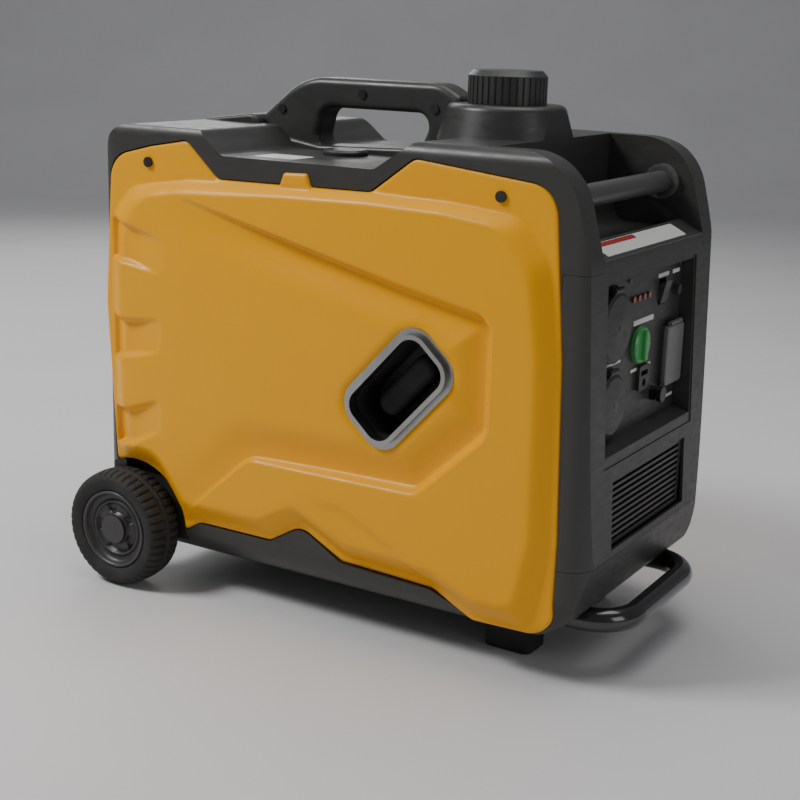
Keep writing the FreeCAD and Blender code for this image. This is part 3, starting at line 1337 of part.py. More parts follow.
def inverter():
    fin_pitch, fin_thick, first = 12, 3, -78
    body = prism("inverter_box", "XY", as_size(78), as_size(180), rectangle(160, -84, 214, 84),
                 6)
    fins = [box(f"inverter_fin_{index}", (213, first + fin_pitch * index, 84),
                (226, first + fin_thick + fin_pitch * index, 174))
            for index in range(INVERTER_FINS)]
    keep(fuse("inverter_all", [body] + fins), "inverter_module")


def engine_mounts():
    reach_x, reach_y = 42, 34
    mounts = []
    for x_way, y_way in ((-1, -1), (1, -1), (-1, 1), (1, 1)):
        mounts.append(rod(f"engine_mount_{len(mounts)}", "Z",
                          (S.crank_x + reach_x * x_way, reach_y * y_way, TRAY_FLOOR),
                          S.mount_radius, S.case_low - TRAY_FLOOR))
    keep(group("mount_group", mounts), "engine_mounts")


muffler()
air_intake()
inverter()
engine_mounts()


# ---------------------------------------------------------------------------------------
# Check and write
# ---------------------------------------------------------------------------------------
DOC.recompute()
for thing in DOC.Objects:
    if {"Invalid", "Error"} & set(thing.State):
        raise RuntimeError(f"{thing.Name} did not build: {thing.State}")
for thing in NODES:
    shape = thing.Shape
    if shape.isNull() or not shape.isValid() or shape.Volume <= 0:
        raise RuntimeError(f"{thing.Label} has no valid solid")
os.makedirs("parts", exist_ok=True)
for thing in NODES:
    shape = thing.Shape
    shape.exportStep(os.path.join("parts", thing.Label + ".step"))
    print(f"{thing.Label:24s} solids {len(shape.Solids):2d}  volume {shape.Volume / 1000:9.1f} cm3")
print(len(NODES), "pieces")
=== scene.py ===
import json
import math

import bmesh
import bpy
import numpy as np
from mathutils import Matrix, Vector
from mathutils.geometry import delaunay_2d_cdt


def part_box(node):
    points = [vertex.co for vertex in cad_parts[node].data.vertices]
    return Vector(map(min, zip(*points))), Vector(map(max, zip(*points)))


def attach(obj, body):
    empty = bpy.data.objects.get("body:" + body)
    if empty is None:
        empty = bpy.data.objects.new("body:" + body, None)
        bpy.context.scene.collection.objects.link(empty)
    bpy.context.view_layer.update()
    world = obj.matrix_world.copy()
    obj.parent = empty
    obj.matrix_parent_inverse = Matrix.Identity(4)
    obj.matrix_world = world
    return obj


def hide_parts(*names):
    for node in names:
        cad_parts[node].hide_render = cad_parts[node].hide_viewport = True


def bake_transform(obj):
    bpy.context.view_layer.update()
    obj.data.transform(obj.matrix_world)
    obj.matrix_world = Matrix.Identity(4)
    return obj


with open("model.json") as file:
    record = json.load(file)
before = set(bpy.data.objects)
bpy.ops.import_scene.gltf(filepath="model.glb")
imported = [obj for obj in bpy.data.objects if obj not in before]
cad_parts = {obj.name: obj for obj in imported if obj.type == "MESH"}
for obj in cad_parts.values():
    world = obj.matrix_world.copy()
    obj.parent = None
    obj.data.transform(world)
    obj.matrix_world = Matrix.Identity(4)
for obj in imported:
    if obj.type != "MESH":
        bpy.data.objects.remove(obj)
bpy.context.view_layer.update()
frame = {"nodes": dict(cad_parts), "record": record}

NODES = frame["nodes"]
MM = 0.001


# --------------------------------------------------------------------------------------
# Materials
# --------------------------------------------------------------------------------------
class Shader:
    """One material under construction: a principled shader and the nodes that feed it."""

    def __init__(self, name):
        self.material = bpy.data.materials.new(name)
        self.material.use_nodes = True
        self.tree = self.material.node_tree
        self.bsdf = self.tree.nodes["Principled BSDF"]
        self.place = self.tree.nodes.new("ShaderNodeTexCoord").outputs["Object"]

    def set(self, **values):
        for key, value in values.items():
            self.bsdf.inputs[key.replace("_", " ")].default_value = value
        return self

    def link(self, source, target):
        self.tree.links.new(source, target)

    def node(self, kind, **settings):
        node = self.tree.nodes.new(kind)
        for key, value in settings.items():
            setattr(node, key, value)
        return node

    def noise(self, scale, detail=3.0, roughness=0.55, stretch=None):
        noise = self.node("ShaderNodeTexNoise")
        noise.inputs["Scale"].default_value = scale
        noise.inputs["Detail"].default_value = detail
        noise.inputs["Roughness"].default_value = roughness
        source = self.place
        if stretch:
            mapping = self.node("ShaderNodeMapping")
            mapping.inputs["Scale"].default_value = stretch
            self.link(self.place, mapping.inputs["Vector"])
            source = mapping.outputs["Vector"]
        self.link(source, noise.inputs["Vector"])
        return noise.outputs["Fac"]

    def cells(self, scale):
        cells = self.node("ShaderNodeTexVoronoi")
        cells.inputs["Scale"].default_value = scale
        self.link(self.place, cells.inputs["Vector"])
        return cells.outputs["Distance"]

    def ramp(self, source, low, high, first, last):
        """Maps source from low..high onto the colours first..last."""
        ramp = self.node("ShaderNodeValToRGB")
        ramp.color_ramp.elements[0].position = low
        ramp.color_ramp.elements[0].color = rgba(first)
        ramp.color_ramp.elements[1].position = high
        ramp.color_ramp.elements[1].color = rgba(last)
        self.link(source, ramp.inputs["Fac"])
        return ramp.outputs["Color"]

    def scale(self, source, low, high, first, last):
        """Maps source from low..high onto the numbers first..last."""
        spread = self.node("ShaderNodeMapRange")
        for key, value in (("From Min", low), ("From Max", high), ("To Min", first),
                           ("To Max", last)):
            spread.inputs[key].default_value = value
        self.link(source, spread.inputs["Value"])
        return spread.outputs["Result"]

    def mix(self, factor, first, second, blend="MIX"):
        mix = self.node("ShaderNodeMix", data_type="RGBA", blend_type=blend)
        for socket, value in ((mix.inputs["Factor"], factor), (mix.inputs["A"], first),
                              (mix.inputs["B"], second)):
            if hasattr(value, "is_linked"):
                self.link(value, socket)
            elif isinstance(value, (tuple, list)):
                socket.default_value = rgba(value)
            else:
                socket.default_value = value
        return next(o for o in mix.outputs if o.type == "RGBA")

    def bump(self, height, strength, distance, below=None):
        bump = self.node("ShaderNodeBump")
        bump.inputs["Strength"].default_value = strength
        bump.inputs["Distance"].default_value = distance
        self.link(height, bump.inputs["Height"])
        if below is not None:
            self.link(below, bump.inputs["Normal"])
        return bump.outputs["Normal"]

    def edges(self, low=0.5, high=0.56):
        """White on convex edges, from the mesh's pointiness."""
        geometry = self.node("ShaderNodeNewGeometry")
        return self.scale(geometry.outputs["Pointiness"], low, high, 0.0, 1.0)


def rgba(colour):
    return (*colour[:3], 1.0)


def moulded(name, colour, second_tone, roughness, grain=900.0, grain_depth=0.00006, spread=0.08,
            coat=0.0, gloss=0.5):
    """Injection-moulded plastic: fine spark-eroded grain, faint cloudiness, dust and rub."""
    s = Shader(name)
    cloud = s.noise(9.0, 4.0, 0.6)
    fine = s.noise(grain, 2.0, 0.7)
    scuff = s.noise(55.0, 6.0, 0.65, (1.0, 1.0, 3.0))
    base = s.mix(s.scale(cloud, 0.3, 0.7, 0.0, 0.25), colour, second_tone)
    # Mixed toward the second tone on convex edges.
    base = s.mix(s.scale(s.edges(), 0.0, 1.0, 0.0, 0.55), base, second_tone)
    s.link(base, s.bsdf.inputs["Base Color"])
    s.link(s.scale(scuff, 0.35, 0.75, roughness - spread, roughness + spread),
           s.bsdf.inputs["Roughness"])
    s.link(s.bump(fine, 0.35, grain_depth), s.bsdf.inputs["Normal"])
    s.set(Coat_Weight=coat, Coat_Roughness=0.18, Specular_IOR_Level=gloss)
    return s.material


def rubber(name, colour, dust, roughness=0.72):
    s = Shader(name)
    fine = s.noise(650.0, 3.0, 0.7)
    cloud = s.noise(38.0, 5.0, 0.65)
    s.link(s.mix(s.scale(cloud, 0.45, 0.8, 0.0, 0.8), colour, dust), s.bsdf.inputs["Base Color"])
    s.link(s.scale(cloud, 0.2, 0.8, roughness - 0.08, roughness + 0.1),
           s.bsdf.inputs["Roughness"])
    s.link(s.bump(fine, 0.4, 0.00008), s.bsdf.inputs["Normal"])
    s.set(Specular_IOR_Level=0.35)
    return s.material


def paint(name, colour, roughness, coat=0.6, peel=0.00005):
    """Painted or powder-coated steel with a little orange peel."""
    s = Shader(name)
    peel_map = s.noise(420.0, 2.0, 0.5)
    smudge = s.noise(24.0, 5.0, 0.6)
    # A lighter copy of the colour, mixed in on convex edges.
    second_tone = tuple(min(1.0, c * 2.2 + 0.02) for c in colour)
    s.link(s.mix(s.scale(s.edges(), 0.0, 1.0, 0.0, 0.4), colour, second_tone),
           s.bsdf.inputs["Base Color"])
    s.link(s.scale(smudge, 0.3, 0.7, roughness - 0.06, roughness + 0.1),
           s.bsdf.inputs["Roughness"])
    s.link(s.bump(peel_map, 0.3, peel), s.bsdf.inputs["Normal"])
    s.set(Coat_Weight=coat, Coat_Roughness=0.1)
    return s.material


def metal(name, colour, dark, roughness, brushed=None, cast=False):
    s = Shader(name)
    if cast:
        rough_map = s.noise(300.0, 6.0, 0.75)
        s.link(s.bump(rough_map, 0.6, 0.0004), s.bsdf.inputs["Normal"])
    else:
        rough_map = s.noise(160.0, 4.0, 0.6, brushed or (1.0, 1.0, 12.0))
        s.link(s.bump(rough_map, 0.15, 0.00005), s.bsdf.inputs["Normal"])
    stain = s.noise(30.0, 5.0, 0.6)
    s.link(s.ramp(stain, 0.3, 0.75, colour, dark), s.bsdf.inputs["Base Color"])
    s.link(s.scale(rough_map, 0.3, 0.7, roughness - 0.05, roughness + 0.1),
           s.bsdf.inputs["Roughness"])
    s.set(Metallic=1.0)
    return s.material


def lens(name, colour):
    s = Shader(name)
    fine = s.noise(900.0, 1.0)
    s.link(s.mix(s.scale(fine, 0.3, 0.7, 0.0, 0.3), colour, tuple(c * 0.6 for c in colour)),
           s.bsdf.inputs["Base Color"])
    s.set(Roughness=0.12, Coat_Weight=0.8, Coat_Roughness=0.03)
    return s.material


MATERIALS = {
    "casing_plastic": moulded("charcoal_moulding", (0.026, 0.026, 0.024), (0.046, 0.045, 0.042),
                              0.42),
    "yellow_plastic": moulded("yellow_moulding", (0.90, 0.40, 0.0), (0.84, 0.365, 0.0), 0.40,
                              grain_depth=0.00003, gloss=0.3),
    "chrome_trim": metal("bright_trim", (0.40, 0.40, 0.39), (0.30, 0.30, 0.29), 0.30),
    # Label stock, also the finish of the pale deck film, which is a painted highlight.
    "label_stock": moulded("label_film_and_painted_highlight", (0.74, 0.74, 0.71), (0.66, 0.66, 0.63), 0.38,
                           grain_depth=0.00002),
    # Screws far darker than bare zinc: painted shade for the counterbores they sit in, which are
    # not modelled.
    "zinc_screw": metal("screw_with_painted_shade", (0.11, 0.11, 0.11), (0.05, 0.05, 0.05), 0.34),
    "black_rubber": rubber("black_rubber", (0.016, 0.016, 0.016), (0.04, 0.038, 0.035)),
    "tyre_rubber": rubber("tyre_rubber", (0.022, 0.022, 0.021), (0.055, 0.052, 0.047)),
    "wheel_plastic": moulded("wheel_nylon", (0.035, 0.035, 0.034), (0.06, 0.06, 0.057), 0.42),
    "bar_finish": paint("bar_powder_coat", (0.06, 0.06, 0.058), 0.4, 0.2, 0.0001),
    "black_tube": paint("tube_gloss_paint", (0.008, 0.008, 0.008), 0.16, 0.9),
    "black_plastic": moulded("black_moulding", (0.022, 0.022, 0.021), (0.045, 0.045, 0.042),
                             0.42),
    "grey_plastic": moulded("grey_moulding", (0.17, 0.17, 0.165), (0.13, 0.13, 0.125), 0.38),
    "green_plastic": moulded("green_moulding", (0.05, 0.34, 0.08), (0.04, 0.28, 0.07), 0.34,
                             coat=0.3),
    "lamp_lens": lens("lamp_lens", (0.20, 0.02, 0.012)),
    "cast_alloy": metal("cast_alloy", (0.55, 0.55, 0.54), (0.35, 0.35, 0.34), 0.45, cast=True),
    "steel": metal("machined_steel", (0.42, 0.42, 0.43), (0.25, 0.25, 0.25), 0.32),
    "hot_steel": metal("heat_dulled_steel", (0.30, 0.27, 0.24), (0.16, 0.13, 0.11), 0.5),
    "rope_fibre": rubber("rope_fibre", (0.60, 0.58, 0.52), (0.45, 0.43, 0.38), 0.85),
}


def dress(piece, slot):
    piece.data.materials.clear()
    piece.data.materials.append(MATERIALS[slot])


def new_piece(name, slot, body, points, faces, smooth=True):
    """A mesh piece from points in millimetres, in a record slot's finish, riding on a body.

    A piece that is blended between two bodies is made with no body.
    """
    mesh = bpy.data.meshes.new(name)
    mesh.from_pydata([tuple(float(c) * MM for c in point) for point in points], [], faces)
    mesh.validate()
    shape = bmesh.new()
    shape.from_mesh(mesh)
    bmesh.ops.recalc_face_normals(shape, faces=shape.faces)
    shape.to_mesh(mesh)
    shape.free()
    mesh.shade_smooth() if smooth else mesh.shade_flat()
    piece = bpy.data.objects.new(name, mesh)
    bpy.context.scene.collection.objects.link(piece)
    dress(piece, slot)
    if body:
        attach(piece, body)
    return piece


# --------------------------------------------------------------------------------------
# Plane geometry, in millimetres
# --------------------------------------------------------------------------------------
def rounded(corners, step=2.0):
    """The points of a closed outline through (u, v, radius) corners with tangent arcs."""
    out = []
    count = len(corners)
    for i, (u, v, radius) in enumerate(corners):
        here = np.array((u, v), float)
        before = np.array(corners[i - 1][:2], float) - here
        after = np.array(corners[(i + 1) % count][:2], float) - here
        before /= np.linalg.norm(before)
        after /= np.linalg.norm(after)
        half = math.acos(max(-1.0, min(1.0, float(before @ after)))) / 2
        if radius <= 0 or half > math.radians(89.5):
            out.append(here)
            continue
        middle = (before + after) / np.linalg.norm(before + after)
        centre = here + middle * (radius / math.sin(half))
        start = here + before * (radius / math.tan(half)) - centre
        end = here + after * (radius / math.tan(half)) - centre
        first = math.atan2(start[1], start[0])
        turn = (math.atan2(end[1], end[0]) - first + math.pi) % (2 * math.pi) - math.pi
        steps = max(3, int(abs(turn) * radius / step))
        for k in range(steps + 1):
            angle = first + turn * k / steps
            out.append(centre + radius * np.array((math.cos(angle), math.sin(angle))))
    return resampled(np.array(out), step)


def resampled(loop, step):
    """The same closed outline with points at most a step apart."""
    out = []
    for i in range(len(loop)):
        here, following = loop[i], loop[(i + 1) % len(loop)]
        gap = np.linalg.norm(following - here)
        if gap < 0.05:
            continue
        parts = max(1, int(math.ceil(gap / step)))
        out += [here + (following - here) * k / parts for k in range(parts)]
    return np.array(out)


def inside(points, loop):
    """Whether each point is inside a closed outline, by crossings."""
    x, z = points[:, 0], points[:, 1]
    found = np.zeros(len(points), bool)
    for i in range(len(loop)):
        (ax, az), (bx, bz) = loop[i], loop[(i + 1) % len(loop)]
        if az == bz:
            continue
        crosses = (az > z) != (bz > z)
        found ^= crosses & (x < (bx - ax) * (z - az) / (bz - az) + ax)
    return found


def away(points, line, closed=True):
    """The distance from each point to an outline or an open line."""
    best = np.full(len(points), 1e9)
    last = len(line) if closed else len(line) - 1
    for i in range(last):
        a, b = np.array(line[i], float), np.array(line[(i + 1) % len(line)], float)
        run = b - a
        share = np.clip(((points - a) @ run) / max(run @ run, 1e-9), 0.0, 1.0)
        gap = points - (a + share[:, None] * run)
        best = np.minimum(best, np.hypot(gap[:, 0], gap[:, 1]))
    return best


def depth_in(points, loop):
    """The distance inside an outline, negative outside it."""
    gap = away(points, loop)
    return np.where(inside(points, loop), gap, -gap)


def ease(value, low=0.0, high=1.0):
    t = np.clip((value - low) / (high - low), 0.0, 1.0)
    return t * t * (3.0 - 2.0 * t)


def middle_xz(node_name):
    """The middle of a node's box, as (x, z)."""
    low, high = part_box(node_name)
    return (low[0] + high[0]) / 2 / MM, (low[2] + high[2]) / 2 / MM


# --------------------------------------------------------------------------------------
# Side panels: closed outlines are (x, z, corner radius)
# --------------------------------------------------------------------------------------
PANEL_EDGE = [
    (-273, 292, 150), (-263, 440, 30), (-211, 453, 10), (-166, 461, 8), (-128, 427, 12),
    (-53, 428, 2), (-49, 439, 3), (-23, 440, 3), (-19, 428.5, 2), (45, 429, 14),
    (90, 462, 14), (229, 447.5, 30), (242, 300, 0), (247, 140, 0), (246, 49, 26),
    (165, 47, 18), (121, 67, 20), (21, 71, 12), (-26, 98, 20), (-63, 76, 12),
    (-151, 76, 10), (-172, 64, 6), (-212, 128, 34), (-262, 122, 8)]
SHOULDER_FOOT = [
    (-263, 250, 80), (-262, 381, 50), (-236, 413, 26), (-159, 424, 40), (-47, 427, 40),
    (47, 429, 40), (129, 427, 40), (196, 421, 34), (228, 384, 40), (239, 300, 60),
    (241, 132, 40), (226, 54, 14), (166, 54, 14), (124, 74, 16), (24, 78, 12),
    (-26, 105, 18), (-65, 83, 12), (-148, 83, 10), (-170, 75, 6), (-207, 131, 30),
    (-258, 129, 14)]
SHOULDER_TOP = [
    (-239, 250, 80), (-241, 364, 44), (-208, 403, 30), (-160, 409, 40), (-47, 416, 40),
    (47, 418, 40), (125, 416, 40), (182, 409, 34), (208, 374, 40), (219, 300, 60),
    (221, 140, 40), (208, 76, 14), (172, 76, 14), (129, 94, 16), (32, 98, 12),
    (-26, 127, 18), (-70, 103, 12), (-143, 103, 10), (-160, 100, 8), (-196, 150, 30),
    (-236, 152, 16)]
RECESS = [(-200, 417, 0), (-25, 377, 60), (84, 353, 60), (171, 336, 12), (181, 322, 12),
          (181, 226, 20), (109, 158, 22), (-82, 158, 22), (-164, 84, 0), (-230, 60, 0)]
SCALLOPS = [
    [(-262, 381, 0), (-223, 375, 8), (-181, 364, 8), (-187, 326, 12), (-230, 334, 8),
     (-262, 337, 0)],
    [(-262, 282, 0), (-234, 281, 8), (-188, 287, 8), (-189, 248, 12), (-235, 239, 8),
     (-262, 234, 0)],
    [(-262, 184, 0), (-232, 189, 8), (-189, 205, 8), (-190, 167, 12), (-230, 147, 8),
     (-262, 142, 0)]]
TAB = [(-55, 425, 2), (-17, 425, 2), (-17, 447, 2), (-55, 447, 2)]
LOWER_CREASE = [(-20, 142), (30, 134), (87, 107), (137, 69), (179, 40)]
RIM_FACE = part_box("top_cover")[1][1] / MM          # the flat rim, from the middle plane
FIELD_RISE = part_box("plain_side_panel")[1][1] / MM - RIM_FACE
RIM_DEPTH = 9.8                                    # from the rim's face in to the casing
RIM_FOOT = RIM_FACE - RIM_DEPTH
WHEEL_CENTRE = middle_xz("left_tyre")
ARCH_GAP = 6.0                                     # between a tyre and the panel's arch
ARCH_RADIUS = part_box("left_tyre")[1][2] / MM / 2 + ARCH_GAP
WINDOW_CENTRE = middle_xz("window_bezel")
WINDOW_LONG, WINDOW_SHORT, WINDOW_ROUND = 112.0, 62.0, 20.0
WINDOW_TILT = math.radians(47.5)
WINDOW_DISH = 13.0                                 # how far round it the skin dips
WINDOW_DIP = 5.0
RECESS_FLOOR = 2.2                                 # its depth well inside its outline
RECESS_GROOVE = 8.6                                # further depth along its edges
SCALLOP_DEPTH = 7.0
CREASE_DROP = 3.6
TAB_RISE = 3.4
LIP_RADIUS = 3.0                                   # the round of the panel's outer edge
SKIN = 4.0


def window_loop(grow, step=2.0):
    """The recoil window's tilted, rounded outline."""
    x, z = WINDOW_CENTRE
    corners = []
    for a, b in ((-1, -1), (1, -1), (1, 1), (-1, 1)):
        u, v = a * (WINDOW_LONG / 2 + grow), b * (WINDOW_SHORT / 2 + grow)
        corners.append((x + u * math.cos(WINDOW_TILT) - v * math.sin(WINDOW_TILT),
                        z + u * math.sin(WINDOW_TILT) + v * math.cos(WINDOW_TILT),
                        WINDOW_ROUND + grow))
    return rounded(corners, step)


def panel_height(points, edge, has_window):
    """How far the panel's skin stands from the middle plane at each (x, z) point."""
    foot, top = rounded(SHOULDER_FOOT, 4.0), rounded(SHOULDER_TOP, 4.0)
    outside = depth_in(points, foot)
    to_top = np.maximum(-depth_in(points, top), 0.0)
    climb = np.clip(outside / np.maximum(outside + to_top, 0.01), 0.0, 1.0)
    climb = np.where(outside <= 0, 0.0, climb)
    height = RIM_FACE + FIELD_RISE * (0.35 * ease(climb) + 0.65 * np.sin(climb * math.pi / 2))

    along = points[:, 0]
    recess = depth_in(points, rounded(RECESS, 4.0))
    band = 3.5 + 5.5 * ease(along, -140.0, 170.0)
    falling = RECESS_FLOOR + RECESS_GROOVE * (1.0 - ease(recess, 9.0, 46.0))
    height -= falling * ease(along, -205.0, -10.0) * ease(recess / band)

    crease = away(points, LOWER_CREASE, closed=False)
    line = np.array(LOWER_CREASE, float)
    level = np.interp(along, line[:, 0], line[:, 1])
    below = np.where(points[:, 1] < level, crease, -crease)
    strength = ease(along, -25.0, 45.0)
    height -= CREASE_DROP * strength * ease(below, -1.0, 12.0)

    for outline in SCALLOPS:
        dent = depth_in(points, rounded(outline, 4.0))
        fade = 1.0 - ease(along, -236.0, -178.0)
        height -= SCALLOP_DEPTH * fade * ease(dent / 6.0)

    to_lip = LIP_RADIUS - np.clip(away(points, edge), 0.0, LIP_RADIUS)
    height -= LIP_RADIUS - np.sqrt(np.maximum(LIP_RADIUS ** 2 - to_lip ** 2, 0.0))
    height += TAB_RISE * ease(depth_in(points, rounded(TAB, 4.0)) / 2.5)
    if has_window:
        near = np.clip(away(points, window_loop(0.0)), 0.0, WINDOW_DISH)
        height -= WINDOW_DIP * (1.0 - near / WINDOW_DISH) ** 2
    return height


def panel_grid(edge, hole, step):
    """Points inside the panel, clear of its edge and its window, on a staggered grid."""
    low, high = edge.min(axis=0), edge.max(axis=0)
    rows = np.arange(low[1] + step, high[1], step * 0.88)
    grid = []
    for index, z in enumerate(rows):
        xs = np.arange(low[0] + step * (0.5 + 0.5 * (index % 2)), high[0], step)
        grid.append(np.column_stack((xs, np.full(len(xs), z))))
    grid = np.vstack(grid)
    grid = grid[inside(grid, edge)]
    grid = grid[away(grid, edge) > step * 0.55]
    if hole is not None:
        grid = grid[~inside(grid, hole)]
        grid = grid[away(grid, hole) > step * 0.55]
    return grid


def inset(edge, amount):
    """The outline moved inwards, for rows of points along a rounded lip."""
    before = np.roll(edge, 1, axis=0)
    after = np.roll(edge, -1, axis=0)
    run = after - before
    run /= np.maximum(np.linalg.norm(run, axis=1)[:, None], 1e-9)
    normal = np.column_stack((-run[:, 1], run[:, 0]))
    probe = inside(edge + normal * 0.3, edge)
    normal[~probe] *= -1
    moved = edge + normal * amount
    return moved[depth_in(moved, edge) > amount * 0.8]


def side_panel(name, side, has_window):
    """A moulded side panel: a skin shaped by panel_height, with a rim wall and a back."""
    step = 2.3
    edge = rounded(PANEL_EDGE, step)
    gap = np.hypot(edge[:, 0] - WHEEL_CENTRE[0], edge[:, 1] - WHEEL_CENTRE[1])
    held = gap < ARCH_RADIUS
    out = edge[held] - np.array(WHEEL_CENTRE)
    out *= (ARCH_RADIUS / np.maximum(np.linalg.norm(out, axis=1), 1e-6))[:, None]
    edge[held] = out + np.array(WHEEL_CENTRE)
    edge = resampled(edge, step)
    hole = window_loop(0.0, step) if has_window else None

    rings = [inset(edge, amount) for amount in (0.5, 1.3)]
    loops = [edge] + ([hole] if has_window else [])
    grid = panel_grid(edge, hole, step)
    grid = grid[away(grid, edge) > 2.0]
    flat = np.vstack(loops + rings + [grid])
    borders = []
    start = 0
    for loop in loops:
        count = len(loop)
        borders += [(start + i, start + (i + 1) % count) for i in range(count)]
        start += count
    made = delaunay_2d_cdt([Vector(point) for point in flat.tolist()], borders, [], 1, 1e-5)
    points = np.array([tuple(point) for point in made[0]])
    triangles = [tuple(face) for face in made[2]]
    middles = np.array([points[list(face)].mean(axis=0) for face in triangles])
    keep = inside(middles, edge)
    if has_window:
        keep &= ~inside(middles, hole)
    triangles = [face for face, kept in zip(triangles, keep) if kept]

    height = panel_height(points, edge, has_window)
    back = np.maximum(height - SKIN, RIM_FOOT)
    back = np.where(away(points, edge) < 0.01, RIM_FOOT, back)
    count = len(points)
    front = [(x, side * h, z) for (x, z), h in zip(points, height)]
    rear = [(x, side * h, z) for (x, z), h in zip(points, back)]
    faces = list(triangles) + [tuple(count + i for i in reversed(face)) for face in triangles]
    seen = {}
    for face in triangles:
        for a, b in zip(face, face[1:] + face[:1]):
            if seen.pop((b, a), None) is None:
                seen[(a, b)] = True
    faces += [(b, a, a + count, b + count) for a, b in seen]
    return new_piece(name, "yellow_plastic", "chassis", front + rear, faces)


def side_panels():
    near = side_panel("near_side_moulding", -1, True)
    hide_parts("starter_side_panel")
    far = side_panel("far_side_moulding", 1, False)
    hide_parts("plain_side_panel")


# --------------------------------------------------------------------------------------
# Wheels
# --------------------------------------------------------------------------------------
def lathe(name, slot, body, centre, profile, turns, shape_radius=None):
    """A ring turned about a Y axis; profile is (radius, across) pairs round a closed loop."""
    points, faces = [], []
    count = len(profile)
    for k in range(turns):
        angle = 2 * math.pi * k / turns
        for index, (radius, across) in enumerate(profile):
            if shape_radius:
                radius, across = shape_radius(k, index, radius, across)
            points.append((centre[0] + radius * math.cos(angle), centre[1] + across,
                           centre[2] + radius * math.sin(angle)))
    for k in range(turns):
        for index in range(count):
            a = k * count + index
            b = k * count + (index + 1) % count
            c = ((k + 1) % turns) * count + (index + 1) % count
            d = ((k + 1) % turns) * count + index
            faces.append((a, b, c, d))
    return new_piece(name, slot, body, points, faces)


LUGS = 44
LUG_STEPS = 8          # points round the tyre for each lug
GROOVE_DEPTH = 2.2
LUG_DEPTH = 2.6        # on the tread; SHOULDER_LUG_DEPTH past it
SHOULDER_LUG_DEPTH = 1.6
HUB_SLOTS = 5
HUB_SLOT_DEPTH = 2.4
DISC_TURNS = 180       # points round a wheel disc


def tyre_profile():
    """The tyre's section: a bead, a bulging side wall, a domed tread, and back."""
    half_side = [(41.0, -17.0), (43.0, -18.6), (46.0, -19.9), (50.0, -20.7), (53.0, -20.9),
                 (54.6, -20.3), (56.0, -19.6), (57.6, -18.2), (58.9, -16.0), (59.7, -13.2)]
    tread = []
    for across in np.linspace(-10.6, 10.6, 13):
        tread.append((61.0 - 0.9 * (across / 10.6) ** 2, float(across)))
    mirrored = [(radius, -across) for radius, across in reversed(half_side)]
    return half_side + tread + mirrored + [(41.0, 8.0), (41.0, -8.0)]


def tyre(name, body, centre, way):
    profile = tyre_profile()

    def tread(k, index, radius, across):
        place = (k + (LUG_STEPS // 2 if across > 0 else 0)) % LUG_STEPS
        outer = abs(across)
        if radius > 55.5 and outer > 4.5 and place in (0, 1):
            radius -= LUG_DEPTH if outer < 17.5 else SHOULDER_LUG_DEPTH
        if radius > 55.5 and 3.0 < outer < 5.0:
            radius -= GROOVE_DEPTH
        return radius, across * way

    return lathe(name, "tyre_rubber", body, centre, profile, LUGS * LUG_STEPS, tread)


def rim(name, body, centre, way):
    """A closed wheel disc: dished, ringed, with shallow slots round a small centre."""
    face = [(40.7, -15.5), (40.6, -18.2), (39.4, -18.9), (38.0, -18.4), (37.0, -16.4),
            (36.2, -12.6), (33.5, -11.2), (31.2, -11.0), (30.2, -11.6), (29.2, -13.0),
            (28.2, -13.4), (27.2, -12.8), (26.4, -11.0), (22.0, -10.2), (18.0, -10.4),
            (16.4, -11.2), (15.4, -13.6), (14.4, -14.6), (12.5, -14.8), (9.6, -14.8),
            (8.2, -14.8)]
    back = [(8.2, 8.0), (30.0, 8.0), (36.0, 15.5), (40.7, 15.5)]

    def slot(k, index, radius, across):
        share = (k / DISC_TURNS * HUB_SLOTS) % 1.0
        if 17.0 < radius < 26.8 and 0.30 < share < 0.70:
            across += HUB_SLOT_DEPTH
        return radius, across * way

    return lathe(name, "wheel_plastic", body, centre, face + back, DISC_TURNS, slot)


def wheels():
    for name in ("left", "right"):
        low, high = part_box(name + "_tyre")
        centre = [(a + b) / 2 / MM for a, b in zip(low, high)]
        way = 1 if centre[1] < 0 else -1
        ring = tyre(name + "_tread_tyre", name + "_wheel", centre, way)
        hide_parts(name + "_tyre")
        disc = rim(name + "_disc", name + "_wheel", centre, way)
        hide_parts(name + "_rim")


# --------------------------------------------------------------------------------------
# Labels, with no text, and a painted highlight strip on the deck
# --------------------------------------------------------------------------------------
def film(name, slot, corners, radius, to_space, thick, normal):
    """A thin label or painted highlight sheet: a rounded outline set on a plane, with its own
    thickness.
    """
    loop = rounded([(u, v, radius) for u, v in corners], 1.0)
    count = len(loop)
    low = [to_space(u, v) for u, v in loop]
    high = [tuple(a + b * thick for a, b in zip(point, normal)) for point in low]
    faces = [tuple(range(count)), tuple(reversed(range(count, 2 * count)))]
    faces += [(i, (i + 1) % count, count + (i + 1) % count, count + i) for i in range(count)]
    return new_piece(name, slot, "chassis", low + high, faces, smooth=False)


LEDGE_REAR, LEDGE_HIGH, LEDGE_SLOPE = 238.0, 398.0, 0.5
DECK_TOP = 449.0
FILM_GAP = 0.05        # a label lies this far off its surface


